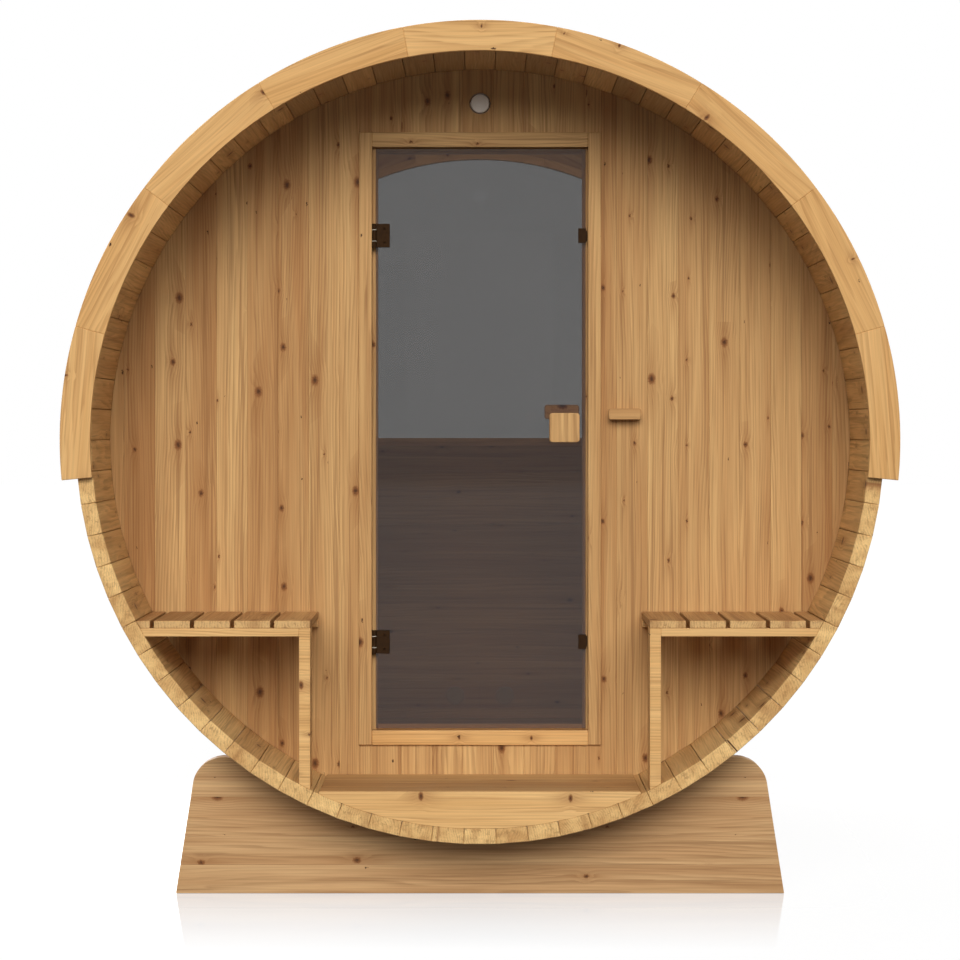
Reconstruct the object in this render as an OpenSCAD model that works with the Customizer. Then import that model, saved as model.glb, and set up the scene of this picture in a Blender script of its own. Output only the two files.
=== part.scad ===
// Barrel sauna: a lying barrel of flat staves on two cradles, with an open porch,
// a glass door, two slatted benches, a half-moon rear window and a boarded roof.
// Millimetres. Origin on the ground under the middle. The door faces -Y, up is +Z.

/* [Barrel] */
// Outer diameter over the joints of the staves
barrel_d = 2100; // [1900:10:2400]
// Length of the staves
barrel_l = 2160; // [1700:10:2800]
// Thickness of a stave
stave_t = 40; // [28:1:45]
// Height of the lowest staves above the ground
ground_gap = 150; // [100:5:300]
// Number of staves, a multiple of six
stave_count = 78; // [66:6:90]

/* [Roof] */
// Thickness of the curved ribs under the roof boards
rib_t = 17; // [12:1:30]
// Thickness of the roof boards
roof_t = 18; // [14:1:28]
// Number of roof boards, a multiple of four
roof_boards = 36; // [32:4:40]
// Angle from the top of the barrel down to each edge of the roof
roof_half_angle = 95.5; // [85:0.1:100]
// Width of a rib along the barrel
rib_w = 45; // [30:1:70]

/* [Fascias] */
// Thickness of the fascia ring at each end
fascia_t = 20; // [15:1:30]
// How far the fascia stands above the roof boards
fascia_lip = 4; // [0:1:10]
// Number of fascia segments in a ring
fascia_segments = 9; // [7:2:11]

/* [Steel bands] */
// Width of a band
band_w = 30; // [20:1:40]
// Thickness of a band
band_t = 1.2; // [1:0.1:2]

/* [Cradles] */
// Width of a cradle at the ground
cradle_w = 1610; // [1500:10:1700]
// Height of a cradle at its shoulders
cradle_h = 360; // [320:5:400]
// Thickness of a cradle
cradle_t = 60; // [40:1:90]
// Lean of a cradle's sides from upright, in degrees
cradle_lean = 8.8; // [0:0.2:12]
// Radius of a cradle's shoulders
cradle_r = 80; // [40:1:110]
// Distance from the barrel's end to the nearer face of a cradle
cradle_inset = 155; // [100:5:400]

/* [Porch and walls] */
// Depth of the porch from the fascia's face to the front wall
porch_depth = 430; // [350:5:600]
// Thickness of the front and rear walls
wall_t = 42; // [36:1:60]
// Distance from the barrel's rear end to the rear wall
rear_inset = 60; // [20:5:200]
// Height of the floor above the inside of the lowest staves
floor_rise = 97; // [80:1:140]
// Thickness of the floor boards
floor_t = 28; // [20:1:35]
// Gap between each end of the floor and the bench beside it
floor_gap = 23; // [10:1:60]
// Thickness of the board that closes the porch below the floor
apron_t = 20; // [15:1:30]

/* [Benches] */
// Height of the seat above the floor
seat_h = 444; // [380:1:480]
// Thickness of a slat
slat_t = 20; // [16:1:30]
// Width of a slat
slat_w = 94; // [70:1:110]
// Gap between slats
slat_gap = 10; // [5:1:15]
// Number of slats in a bench
slat_count = 5; // [4:1:5]
// Distance from the middle of the porch to the inner edge of a bench
bench_edge = 441; // [425:1:470]
// Height of a rail
rail_h = 21; // [18:1:40]
// Depth of a rail along the barrel
rail_t = 28; // [20:1:40]
// Width of a post, seen from the front
post_w = 29; // [20:1:45]
// Depth of a post along the barrel
post_depth = 95; // [40:1:140]

/* [Door] */
// Width of the opening in the door frame
door_w = 590; // [540:5:640]
// Height of the opening in the door frame
door_h = 1591; // [1450:1:1620]
// Height of the sill's top above the floor
sill_rise = 120; // [60:1:150]
// Width of a jamb, seen from the front
jamb_w = 35; // [30:1:50]
// Height of the head and of the sill
head_h = 40; // [30:1:45]
// How far the door frame stands in front of the wall
frame_proud = 8; // [0:1:15]
// Width of the stop that the door closes in front of
stop_w = 16; // [12:1:25]
// Thickness of the glass leaf
glass_t = 8; // [6:1:10]
// How far the glass lies behind the face of the frame
glass_recess = 6; // [4:1:10]
// Gap between the glass and the frame at the hinges
hinge_gap = 11; // [11:1:14]
// Gap between the glass and the frame at the latch
latch_gap = 7; // [7:1:10]
// Gap above and below the glass
glass_gap = 5; // [5:1:8]
// Gap between the glass and the stop behind it
stop_gap = 10; // [10:1:14]

/* [Door fittings] */
// Distance between the middles of the two hinges
hinge_spread = 1108; // [900:1:1300]
// Height of a hinge
hinge_h = 64; // [56:1:90]
// Width of a clamp plate on the glass
clamp_w = 36; // [30:1:50]
// Thickness of a clamp plate
clamp_t = 5; // [3:0.5:6]
// Radius of a knuckle
knuckle_r = 6; // [5.5:0.1:6]
// Length of the middle knuckle
middle_knuckle = 28.5; // [20:0.5:34]
// Radius of the hinge pin
pin_r = 3; // [2:0.1:3.5]
// Thickness of a hinge washer
washer_t = 1.3; // [1:0.1:2]
// Width of a strike plate on the glass
strike_w = 21.5; // [15:0.5:30]
// Height of a strike plate
strike_h = 40; // [25:1:60]
// Width of the outer handle
outer_handle_w = 82; // [60:1:100]
// Height of the outer handle
outer_handle_h = 80; // [60:1:110]
// Width of the inner handle
inner_handle_w = 95; // [70:1:110]
// Height of the inner handle
inner_handle_h = 40; // [30:1:60]
// Thickness of either handle
handle_t = 26; // [18:1:30]

/* [Vents and window] */
// Diameter of a vent's disc
vent_d = 50; // [40:1:60]
// Gap between a vent's disc and its hole
vent_gap = 4; // [2:1:6]
// Radius of the glass that shows in the rear window
window_r = 910; // [800:5:930]
// Width of the rear window's frame
window_frame_w = 25; // [20:1:40]
// Depth of the groove that holds the window's glass
glazing_groove = 10; // [6:1:15]

/* [Hidden] */
$fn = 96;

// Colours
pine = "#C99B5F";
pale_pine = "#DDAE6E";
shaded_pine = "#A27A4B";
bronze = "#2F2113";
tinted_glass = [0.35, 0.31, 0.29, 0.5];
galvanised = "#9DA1A3";
washer_white = "#D9D4C8";
vent_beige = "#CFC2AE";

// Barrel
outer_r = barrel_d / 2;
inner_r = outer_r - stave_t;
centre_z = outer_r + ground_gap;
stave_angle = 360 / stave_count;
group_count = 6;
group_staves = stave_count / group_count;
stave_front = -barrel_l / 2;
stave_back = barrel_l / 2;
front_face = stave_front - fascia_t;
far = 2 * barrel_d;

// Roof and fascias
roof_inner_r = outer_r + rib_t;
roof_outer_r = roof_inner_r + roof_t;
fascia_r = roof_outer_r + fascia_lip;
roof_board_angle = 2 * roof_half_angle / roof_boards;
roof_group_boards = roof_boards / 4;
fascia_angle = 2 * roof_half_angle / fascia_segments;
fascia_joint = 0.6;
rib_count = 4;

// Steel bands, one near each wall and one in the middle
wall_front = front_face + porch_depth;
wall_back = wall_front + wall_t;
rear_wall_back = stave_back - rear_inset;
rear_wall_front = rear_wall_back - wall_t;
band_places = [wall_front - band_w, (wall_front + rear_wall_back) / 2, rear_wall_back - band_w];

// Floor and porch
floor_top = floor_rise - inner_r;
floor_bottom = floor_top - floor_t;
floor_half_w = bench_edge - floor_gap;
seat_top = floor_top + seat_h;
seat_bottom = seat_top - slat_t;
rail_bottom = seat_bottom - rail_h;

// Door frame and leaf, across
frame_x = door_w / 2 + jamb_w;
reveal_x = door_w / 2;
stop_x = reveal_x - stop_w;
door_bottom = floor_top + sill_rise;
door_top = door_bottom + door_h;
door_middle = (door_bottom + door_top) / 2;
frame_top = door_top + head_h;
frame_bottom = door_bottom - head_h;
glass_left = -reveal_x + hinge_gap;
glass_right = reveal_x - latch_gap;
glass_top = door_top - glass_gap;
glass_bottom = door_bottom + glass_gap;

// Door frame and leaf, in depth
frame_face = wall_front - frame_proud;
glass_front = frame_face + glass_recess;
glass_back = glass_front + glass_t;
stop_face = glass_back + stop_gap;

// Hinges
hinge_places = [door_middle - hinge_spread / 2, door_middle + hinge_spread / 2];
knuckle_clear = 0.6;
plate_clear = 0.5;
pin_clear = 0.05;
axis_x = -reveal_x + knuckle_r + knuckle_clear;
axis_y = glass_front - knuckle_r - plate_clear;
clamp_left = axis_x + knuckle_r + 0.4;
notch_w = 14;
notch_h = 40;
notch_clear = 1;
bracket_t = 2.5;
washer_r = knuckle_r + 0.4;
washer_z = middle_knuckle / 2 + 0.5;
bracket_knuckle_z = washer_z + washer_t;

// Strikes and magnets
strike_t = 2;
strike_edge = 1.5;
magnet_w = 12;
magnet_h = 30;
magnet_t = 2.5;

// Handles
handle_r = 8;
handle_clear = 8;
handle_right = stop_x - handle_clear;
outer_handle_z = door_middle + 30;
inner_handle_z = door_middle + 73;

// Block on the wall beside the door
block_w = 88;
block_h = 30;
block_t = 32;
block_r = 7;
block_gap = 20;
block_z = door_middle + 52;

// Vents
vent_hole_r = vent_d / 2 + vent_gap;
front_vent_z = (frame_top + inner_r) / 2 - 7;
rear_vent_x = 81;
rear_vent_z = floor_top + 73;
vent_proud = 5;
vent_disc_t = 14;
vent_stem_r = 6;
vent_bar_t = 8;
vent_bar_h = 16;
vent_bar_overlap = 8;

// Rear window
window_hole_r = window_r + window_frame_w;
window_bottom = 0;
glazing_t = 8;
glazing_clear = 0.2;

// A point at radius r and at an angle from straight down, turning towards +X
function rim(r, angle) = [r * sin(angle), -r * cos(angle)];
// The angle of the joint before stave i, from straight down
function joint(i) = (i - 0.5) * stave_angle;
// The points of the joints from stave first on, for count staves
function joint_points(r, first, count) = [for (i = [0:count]) rim(r, joint(first + i))];
// The points of the roof's joints, board 0 at the left edge
function roof_points(r, first, count) =
    [for (i = [0:count]) rim(r, 180 + roof_half_angle - (first + i) * roof_board_angle)];
function reversed(list) = [for (i = [len(list) - 1:-1:0]) list[i]];

// Carries a front-view outline, drawn about the centre line, from y = front to y = back
module along_barrel(front, back)
    translate([0, back, centre_z]) rotate([90, 0, 0]) linear_extrude(back - front) children();

// A rectangle from its lower left to its upper right corner
module rectangle(left, bottom, right, top)
    translate([left, bottom]) square([right - left, top - bottom]);

// A block from its lowest to its highest corner, with z counted from the centre line
module block(low, high)
    translate([low[0], low[1], centre_z + low[2]]) cube(high - low);

module rounded_rectangle(left, bottom, right, top, r) {
    rectangle(left + r, bottom, right - r, top);
    rectangle(left, bottom + r, right, top - r);
    for (x = [left + r, right - r], y = [bottom + r, top - r])
        translate([x, y]) circle(r);
}

module inner_outline() polygon(joint_points(inner_r, 0, stave_count - 1));
module outer_outline() polygon(joint_points(outer_r, 0, stave_count - 1));

// Keeps what lies inside the barrel
module inside_barrel() intersection() {
    children();
    inner_outline();
}

// ---- Barrel ----

module staves(group) {
    first = group * group_staves - (group_staves - 1) / 2;
    color(pine) along_barrel(stave_front, stave_back) polygon(concat(
        joint_points(outer_r, first, group_staves),
        reversed(joint_points(inner_r, first, group_staves))));
}

module staves_bottom() staves(0);
module staves_lower_right() staves(1);
module staves_upper_right() staves(2);
module staves_top() staves(3);
module staves_upper_left() staves(4);
module staves_lower_left() staves(5);

module steel_bands() color(galvanised)
    for (y = band_places) along_barrel(y, y + band_w) difference() {
        polygon(joint_points(outer_r + band_t, 0, stave_count - 1));
        outer_outline();
    }

module cradle_outline() {
    lean_r = cradle_r / cos(cradle_lean);
    corner_y = cradle_h - cradle_r;
    corner_x = cradle_w / 2 - corner_y * tan(cradle_lean) - lean_r;
    side = [corner_x + cradle_r * cos(cradle_lean), corner_y + cradle_r * sin(cradle_lean)];
    half = [[cradle_w / 2, 0], side, [corner_x, corner_y], [corner_x, cradle_h]];
    polygon(concat(half, reversed([for (p = half) [-p[0], p[1]]])));
    for (s = [-1, 1]) translate([s * corner_x, corner_y]) circle(cradle_r);
}

module cradle(front) color(pine) along_barrel(front, front + cradle_t) difference() {
    translate([0, -centre_z]) cradle_outline();
    outer_outline();
}

module front_cradle() cradle(stave_front + cradle_inset);
module rear_cradle() cradle(stave_back - cradle_inset - cradle_t);

// ---- Roof ----

module roof_boards_group(group) {
    first = group * roof_group_boards;
    color(pine) along_barrel(stave_front, stave_back) polygon(concat(
        roof_points(roof_outer_r, first, roof_group_boards),
        reversed(roof_points(roof_inner_r, first, roof_group_boards))));
}

module roof_left_low() roof_boards_group(0);
module roof_left_high() roof_boards_group(1);
module roof_right_high() roof_boards_group(2);
module roof_right_low() roof_boards_group(3);

module roof_ribs() color(shaded_pine) {
    pitch = (barrel_l - rib_w) / (rib_count - 1);
    for (i = [0:rib_count - 1]) along_barrel(stave_front + i * pitch, stave_front + i * pitch + rib_w)
        difference() {
            polygon(concat([[0, 0]], roof_points(roof_inner_r, 0, roof_boards)));
            outer_outline();
        }
}

// A ring of fascia segments, butted with a fine joint
module fascia(front) color(pale_pine)
    for (i = [0:fascia_segments - 1]) along_barrel(front, front + fascia_t) intersection() {
        difference() {
            circle(fascia_r);
            circle(inner_r);
        }
        fascia_sector(i);
    }

// The sector that holds one segment, with half a joint off each side
module fascia_sector(i) {
    trim = fascia_joint / 2 / inner_r * 180 / PI;
    first = 180 - roof_half_angle + i * fascia_angle + trim;
    last = 180 - roof_half_angle + (i + 1) * fascia_angle - trim;
    polygon([[0, 0], rim(far, first), rim(far, last)]);
}

module front_fascia() fascia(front_face);
module rear_fascia() fascia(stave_back);

// ---- Front wall ----

module front_wall() color(pine) along_barrel(wall_front, wall_back) inside_barrel() children();

module front_wall_left() front_wall() rectangle(-far, -far, -frame_x, far);
module front_wall_right() front_wall() rectangle(frame_x, -far, far, far);
module front_wall_over_door() front_wall() difference() {
    rectangle(-frame_x, frame_top, frame_x, far);
    translate([0, front_vent_z]) circle(vent_hole_r);
}
module front_wall_under_door() front_wall() rectangle(-frame_x, -far, frame_x, frame_bottom);

module jamb(side) color(pine) {
    left = side > 0 ? reveal_x : -frame_x;
    stop_left = side > 0 ? stop_x : -reveal_x;
    along_barrel(frame_face, wall_back) rectangle(left, frame_bottom, left + jamb_w, frame_top);
    along_barrel(stop_face, wall_back) rectangle(stop_left, door_bottom, stop_left + stop_w, door_top);
}

module door_jamb_left() jamb(-1);
module door_jamb_right() jamb(1);

module door_head() color(pine) {
    along_barrel(frame_face, wall_back) rectangle(-reveal_x, door_top, reveal_x, frame_top);
    along_barrel(stop_face, wall_back) rectangle(-stop_x, door_top - stop_w, stop_x, door_top);
}

module door_sill() color(pine) {
    along_barrel(frame_face, wall_back) rectangle(-reveal_x, frame_bottom, reveal_x, door_bottom);
    along_barrel(stop_face, wall_back) rectangle(-stop_x, door_bottom, stop_x, door_bottom + stop_w);
}

// ---- Door ----

module door_glass() color(tinted_glass) along_barrel(glass_front, glass_back) difference() {
    rectangle(glass_left, glass_bottom, glass_right, glass_top);
    for (z = hinge_places)
        rectangle(glass_left - 1, z - notch_h / 2, glass_left + notch_w, z + notch_h / 2);
}

module outer_handle() color(pine) along_barrel(glass_front - handle_t, glass_front)
    rounded_rectangle(handle_right - outer_handle_w, outer_handle_z - outer_handle_h / 2,
        handle_right, outer_handle_z + outer_handle_h / 2, handle_r);

module inner_handle() color(pine) along_barrel(glass_back, glass_back + handle_t)
    rounded_rectangle(handle_right - inner_handle_w, inner_handle_z - inner_handle_h / 2,
        handle_right, inner_handle_z + inner_handle_h / 2, handle_r);

// A clip folded over the free edge of the glass, that a magnet draws to
module strike_plates() color(bronze) for (z = hinge_places) difference() {
    block([glass_right + strike_edge - strike_w, glass_front - strike_t, z - strike_h / 2],
        [glass_right + strike_edge, glass_back + strike_t, z + strike_h / 2]);
    block([glass_left, glass_front, z - strike_h], [glass_right, glass_back, z + strike_h]);
}

// The moving half of a hinge: a knuckle, and two plates with a web through the glass's notch
module hinge_clamps() color(bronze) for (z = hinge_places) difference() {
    union() {
        along_pin(z, middle_knuckle, knuckle_r);
        block([axis_x, glass_front - clamp_t, z - middle_knuckle / 2],
            [clamp_left + clamp_w, glass_front, z + middle_knuckle / 2]);
        block([clamp_left, glass_front - clamp_t, z - hinge_h / 2],
            [clamp_left + clamp_w, glass_front, z + hinge_h / 2]);
        block([clamp_left, glass_back, z - hinge_h / 2],
            [clamp_left + clamp_w, glass_back + clamp_t, z + hinge_h / 2]);
        block([clamp_left, glass_front, z - notch_h / 2 + notch_clear],
            [glass_left + notch_w - notch_clear, glass_back, z + notch_h / 2 - notch_clear]);
    }
    along_pin(z, hinge_h, pin_r + pin_clear);
}

// A cylinder on the hinge axis, centred on height z
module along_pin(z, length, r)
    translate([axis_x, axis_y, centre_z + z - length / 2]) cylinder(length, r, r);

// The fixed half of a hinge: two knuckles, the pin, and a plate on the jamb's reveal
module hinge_brackets() color(bronze) for (z = hinge_places) {
    knuckle_h = hinge_h / 2 - bracket_knuckle_z;
    plate_front = axis_y + knuckle_r + 1;
    along_pin(z, hinge_h, pin_r);
    for (s = [-1, 1]) {
        along_pin(z + s * (bracket_knuckle_z + knuckle_h / 2), knuckle_h, knuckle_r);
        low = z + s * (bracket_knuckle_z + knuckle_h / 2) - knuckle_h / 2;
        block([-reveal_x, axis_y + 1, low], [axis_x - pin_r, plate_front + 1, low + knuckle_h]);
    }
    block([-reveal_x, plate_front, z - hinge_h / 2], [-reveal_x + bracket_t, stop_face, z + hinge_h / 2]);
}

module hinge_washers() color(washer_white)
    for (z = hinge_places, s = [-1, 1]) difference() {
        along_pin(z + s * (washer_z + washer_t / 2), washer_t, washer_r);
        along_pin(z, hinge_h, pin_r + pin_clear);
    }

module door_magnets() color(bronze) for (z = hinge_places)
    block([stop_x + 2, stop_face - magnet_t, z - magnet_h / 2],
        [stop_x + 2 + magnet_w, stop_face, z + magnet_h / 2]);

module wall_block() color(pale_pine) along_barrel(wall_front - block_t, wall_front)
    rounded_rectangle(frame_x + block_gap, block_z, frame_x + block_gap + block_w, block_z + block_h, block_r);

// ---- Floors ----

module floor_slab(front, back) color(pine) along_barrel(front, back) inside_barrel()
    rectangle(-floor_half_w, floor_bottom, floor_half_w, floor_top);

module porch_floor() floor_slab(stave_front + apron_t, wall_front);
module cabin_floor() floor_slab(wall_back, rear_wall_front);

module floor_apron() color(pale_pine) along_barrel(stave_front, stave_front + apron_t)
    inside_barrel() rectangle(-floor_half_w, -far, floor_half_w, floor_top);

// ---- Benches ----

module bench_slats(side) color(pine) along_barrel(stave_front, wall_front)
    for (i = [0:slat_count - 1]) inside_barrel() slat_outline(side, i);

// Slat 0 is the one beside the middle of the porch. The last one runs on to the staves
module slat_outline(side, i) {
    inner = bench_edge + i * (slat_w + slat_gap);
    outer = i == slat_count - 1 ? far : inner + slat_w;
    mirror([side < 0 ? 1 : 0, 0]) rectangle(inner, seat_bottom, outer, seat_top);
}

module left_bench_slats() bench_slats(-1);
module right_bench_slats() bench_slats(1);

module bench_rails() color(pine) for (side = [0, 1]) mirror([side, 0, 0]) {
    along_barrel(stave_front, stave_front + rail_t) inside_barrel()
        rectangle(bench_edge + post_w, rail_bottom, far, seat_bottom);
    along_barrel(wall_front - rail_t, wall_front) inside_barrel()
        rectangle(bench_edge, rail_bottom, far, seat_bottom);
}

module bench_posts() color(pale_pine) for (side = [0, 1]) mirror([side, 0, 0])
    along_barrel(stave_front, stave_front + post_depth) inside_barrel()
        rectangle(bench_edge, -far, bench_edge + post_w, seat_bottom);

// ---- Rear wall ----

module rear_wall() color(pine) along_barrel(rear_wall_front, rear_wall_back) inside_barrel() children();

module rear_wall_lower() rear_wall() difference() {
    rectangle(-far, -far, far, window_bottom - window_frame_w);
    for (x = [-rear_vent_x, rear_vent_x]) translate([x, rear_vent_z]) circle(vent_hole_r);
}

module rear_wall_arch() rear_wall() difference() {
    rectangle(-far, window_bottom - window_frame_w, far, far);
    half_moon(window_frame_w);
}

// The window's outline, grown by a margin all round
module half_moon(margin) intersection() {
    circle(window_r + margin);
    rectangle(-far, window_bottom - margin, far, far);
}

module rear_window_frame() color(pine) difference() {
    along_barrel(rear_wall_front, rear_wall_back) difference() {
        half_moon(window_frame_w);
        half_moon(0);
    }
    glazing(glazing_groove, glazing_t);
}

module rear_window_glass() color(tinted_glass)
    glazing(glazing_groove - glazing_clear, glazing_t - 2 * glazing_clear);

// A pane in the middle of the rear wall, grown by a margin all round
module glazing(margin, t) {
    middle = (rear_wall_front + rear_wall_back) / 2;
    along_barrel(middle - t / 2, middle + t / 2) half_moon(margin);
}

// ---- Vents ----

// A disc on a stem in a hole of the wall, held by a bar across the back of the hole.
// The disc is at the end y = disc, and the bar is on the wall's far face at y = far_face
module vent(x, z, disc, far_face) {
    towards = far_face > disc ? 1 : -1;
    bar = vent_hole_r + vent_bar_overlap;
    disc_end = disc + towards * vent_disc_t;
    bar_end = far_face + towards * vent_bar_t;
    along_barrel(min(disc, disc_end), max(disc, disc_end)) translate([x, z]) circle(vent_d / 2);
    along_barrel(min(disc_end, far_face), max(disc_end, far_face)) translate([x, z]) circle(vent_stem_r);
    along_barrel(min(far_face, bar_end), max(far_face, bar_end))
        rectangle(x - bar, z - vent_bar_h / 2, x + bar, z + vent_bar_h / 2);
}

module front_vent() color(vent_beige) vent(0, front_vent_z, wall_front - vent_proud, wall_back);
module rear_vents() color(vent_beige) for (x = [-rear_vent_x, rear_vent_x])
    vent(x, rear_vent_z, rear_wall_front - vent_proud, rear_wall_back);

// ---- What is drawn ----

front_cradle();
rear_cradle();
staves_bottom();
staves_lower_right();
staves_upper_right();
staves_top();
staves_upper_left();
staves_lower_left();
steel_bands();
roof_left_low();
roof_left_high();
roof_right_high();
roof_right_low();
roof_ribs();
front_fascia();
rear_fascia();
front_wall_left();
front_wall_right();
front_wall_over_door();
front_wall_under_door();
door_jamb_left();
door_jamb_right();
door_head();
door_sill();
door_glass();
outer_handle();
inner_handle();
strike_plates();
hinge_clamps();
hinge_brackets();
hinge_washers();
door_magnets();
porch_floor();
floor_apron();
cabin_floor();
left_bench_slats();
right_bench_slats();
bench_rails();
bench_posts();
rear_wall_lower();
rear_wall_arch();
rear_window_frame();
rear_window_glass();
front_vent();
rear_vents();
wall_block();
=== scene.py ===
# %% [markdown]
# # A barrel sauna, board by board
# The sauna is a lying barrel of flat staves with a porch, a glass door and a roof. The solid
# shapes come in as a fixed frame. Here each solid is rebuilt from the separate boards, bolts and
# panes that a joiner would use, and each gets a finish that is worked out from its own grain.

# %% Load the fixed frame
import math

import bmesh
import bpy
import numpy as np
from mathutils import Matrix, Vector


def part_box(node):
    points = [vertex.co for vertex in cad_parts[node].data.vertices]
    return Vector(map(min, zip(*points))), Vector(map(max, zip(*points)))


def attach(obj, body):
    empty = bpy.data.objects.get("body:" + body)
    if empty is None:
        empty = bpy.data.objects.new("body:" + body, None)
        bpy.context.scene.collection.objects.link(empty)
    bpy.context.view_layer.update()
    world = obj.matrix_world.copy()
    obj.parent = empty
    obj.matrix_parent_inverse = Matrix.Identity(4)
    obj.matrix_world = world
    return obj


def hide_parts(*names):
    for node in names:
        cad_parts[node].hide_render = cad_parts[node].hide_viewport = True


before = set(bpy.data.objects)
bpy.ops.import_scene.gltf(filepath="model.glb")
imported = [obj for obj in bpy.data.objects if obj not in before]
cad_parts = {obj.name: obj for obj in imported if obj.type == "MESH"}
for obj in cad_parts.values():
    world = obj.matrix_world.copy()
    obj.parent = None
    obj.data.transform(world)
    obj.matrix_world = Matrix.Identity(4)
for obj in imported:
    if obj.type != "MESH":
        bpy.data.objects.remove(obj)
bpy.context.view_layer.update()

# %% [markdown]
# ## Sizes
# Every place is read from the frame's own boxes, so a board always lands where its solid is. The
# barrel is round about one centre line, and most heights are counted from that line.

# %% Read the sizes of the barrel
MM = 0.001
STAVES, ROOF_BOARDS, SEGMENTS = 78, 36, 9
ROOF_HALF = math.radians(95.5)
SEED = 7


def box(name):
    """Lowest and highest corner of a frame solid, as two arrays."""
    low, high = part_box(name)
    return np.array(low), np.array(high)


CENTRE_Z = float((box("steel_bands")[0][2] + box("steel_bands")[1][2]) / 2)
FRONT, BACK = (float(v[1]) for v in box("staves_top"))
OUTER_R, INNER_R = 1050 * MM, 1010 * MM
ROOF_IN, ROOF_OUT = 1067 * MM, 1085 * MM
FASCIA_R = float(box("front_fascia")[1][0])
WALL_FRONT, WALL_BACK = (float(v[1]) for v in box("front_wall_left"))
REAR_FRONT, REAR_BACK = (float(v[1]) for v in box("rear_wall_lower"))
random = np.random.default_rng(SEED)
print("centre line", round(CENTRE_Z, 4), "front wall", round(WALL_FRONT, 3), "rear wall", round(REAR_BACK, 3))

# %% [markdown]
# ## Camera
# The sauna is seen square on from some eight metres, at chest height. The camera stays level, so
# uprights stay upright, and a small shift of the lens moves the picture down instead of a tilt.

# %% Place the camera
camera = bpy.data.objects.new("camera", bpy.data.cameras.new("camera"))
bpy.context.scene.collection.objects.link(camera)
camera.location = (0.0, -9.1, 1.226)
camera.rotation_euler = (math.radians(90), 0.0, 0.0)
camera.data.lens, camera.data.sensor_width = 115.84, 36.0
camera.data.shift_y = -0.052
bpy.context.scene.camera = camera
bpy.context.scene.view_settings.view_transform = "Standard"
print("camera at", tuple(camera.location))

# %% [markdown]
# ## Finishes
# A finish is a small network of nodes. One function adds a node with its settings and its links,
# and one turns a colour written in hex into the linear light that the renderer counts in.

# %% Helpers for finishes


def linear(colour):
    """A hex sRGB colour as linear light: each share s becomes s / 12.92 up to 0.04045, and above it ((s + 0.055) / 1.055) to the power 2.4."""
    s = np.array([int(colour[i : i + 2], 16) for i in (1, 3, 5)]) / 255
    return (*np.where(s <= 0.04045, s / 12.92, ((s + 0.055) / 1.055) ** 2.4).tolist(), 1.0)


def add(tree, kind, sockets=None, **settings):
    """Adds a node, applies its settings and fills its sockets. A value that is a node, or a pair of a node and one of its outputs, is linked. Anything else is set."""
    made = tree.nodes.new("ShaderNode" + kind)
    for name, value in settings.items():
        setattr(made, name, value)
    for socket, value in (sockets or {}).items():
        if isinstance(value, bpy.types.Node):
            value = (value, 0)
        if isinstance(value, tuple) and isinstance(value[0], bpy.types.Node):
            tree.links.new(value[0].outputs[value[1]], made.inputs[socket])
        else:
            made.inputs[socket].default_value = value
    return made


def blank(name):
    """A new material with an empty network."""
    material = bpy.data.materials.new(name)
    material.use_nodes = True
    material.node_tree.nodes.clear()
    return material, material.node_tree


# %% [markdown]
# ### Planed knotty spruce
# Softwood is a stack of rings round the pith: a pale spring band, then a thin dark summer line
# with a sharp outer edge. A board is a flat cut through those rings. So the finish is a solid one:
# it measures how far a point of the board is from a wandering pith, and cuts that distance into
# rings. Faces then get long flames, and ends get arcs, with no extra work. Round each knot the
# rings are lifted by a bell curve, which bends the lines round it as a branch does.
#
# Each board carries two attributes: `grain`, its own coordinates (across, deep, along) in metres
# from its pith, and `tone`, one number that makes it paler or darker than its neighbours: 0 to 1 is
# the wood's own tone, and from 1 to 2 is a painted shade that takes about half its light away.

# %% Make planed knotty spruce


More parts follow.
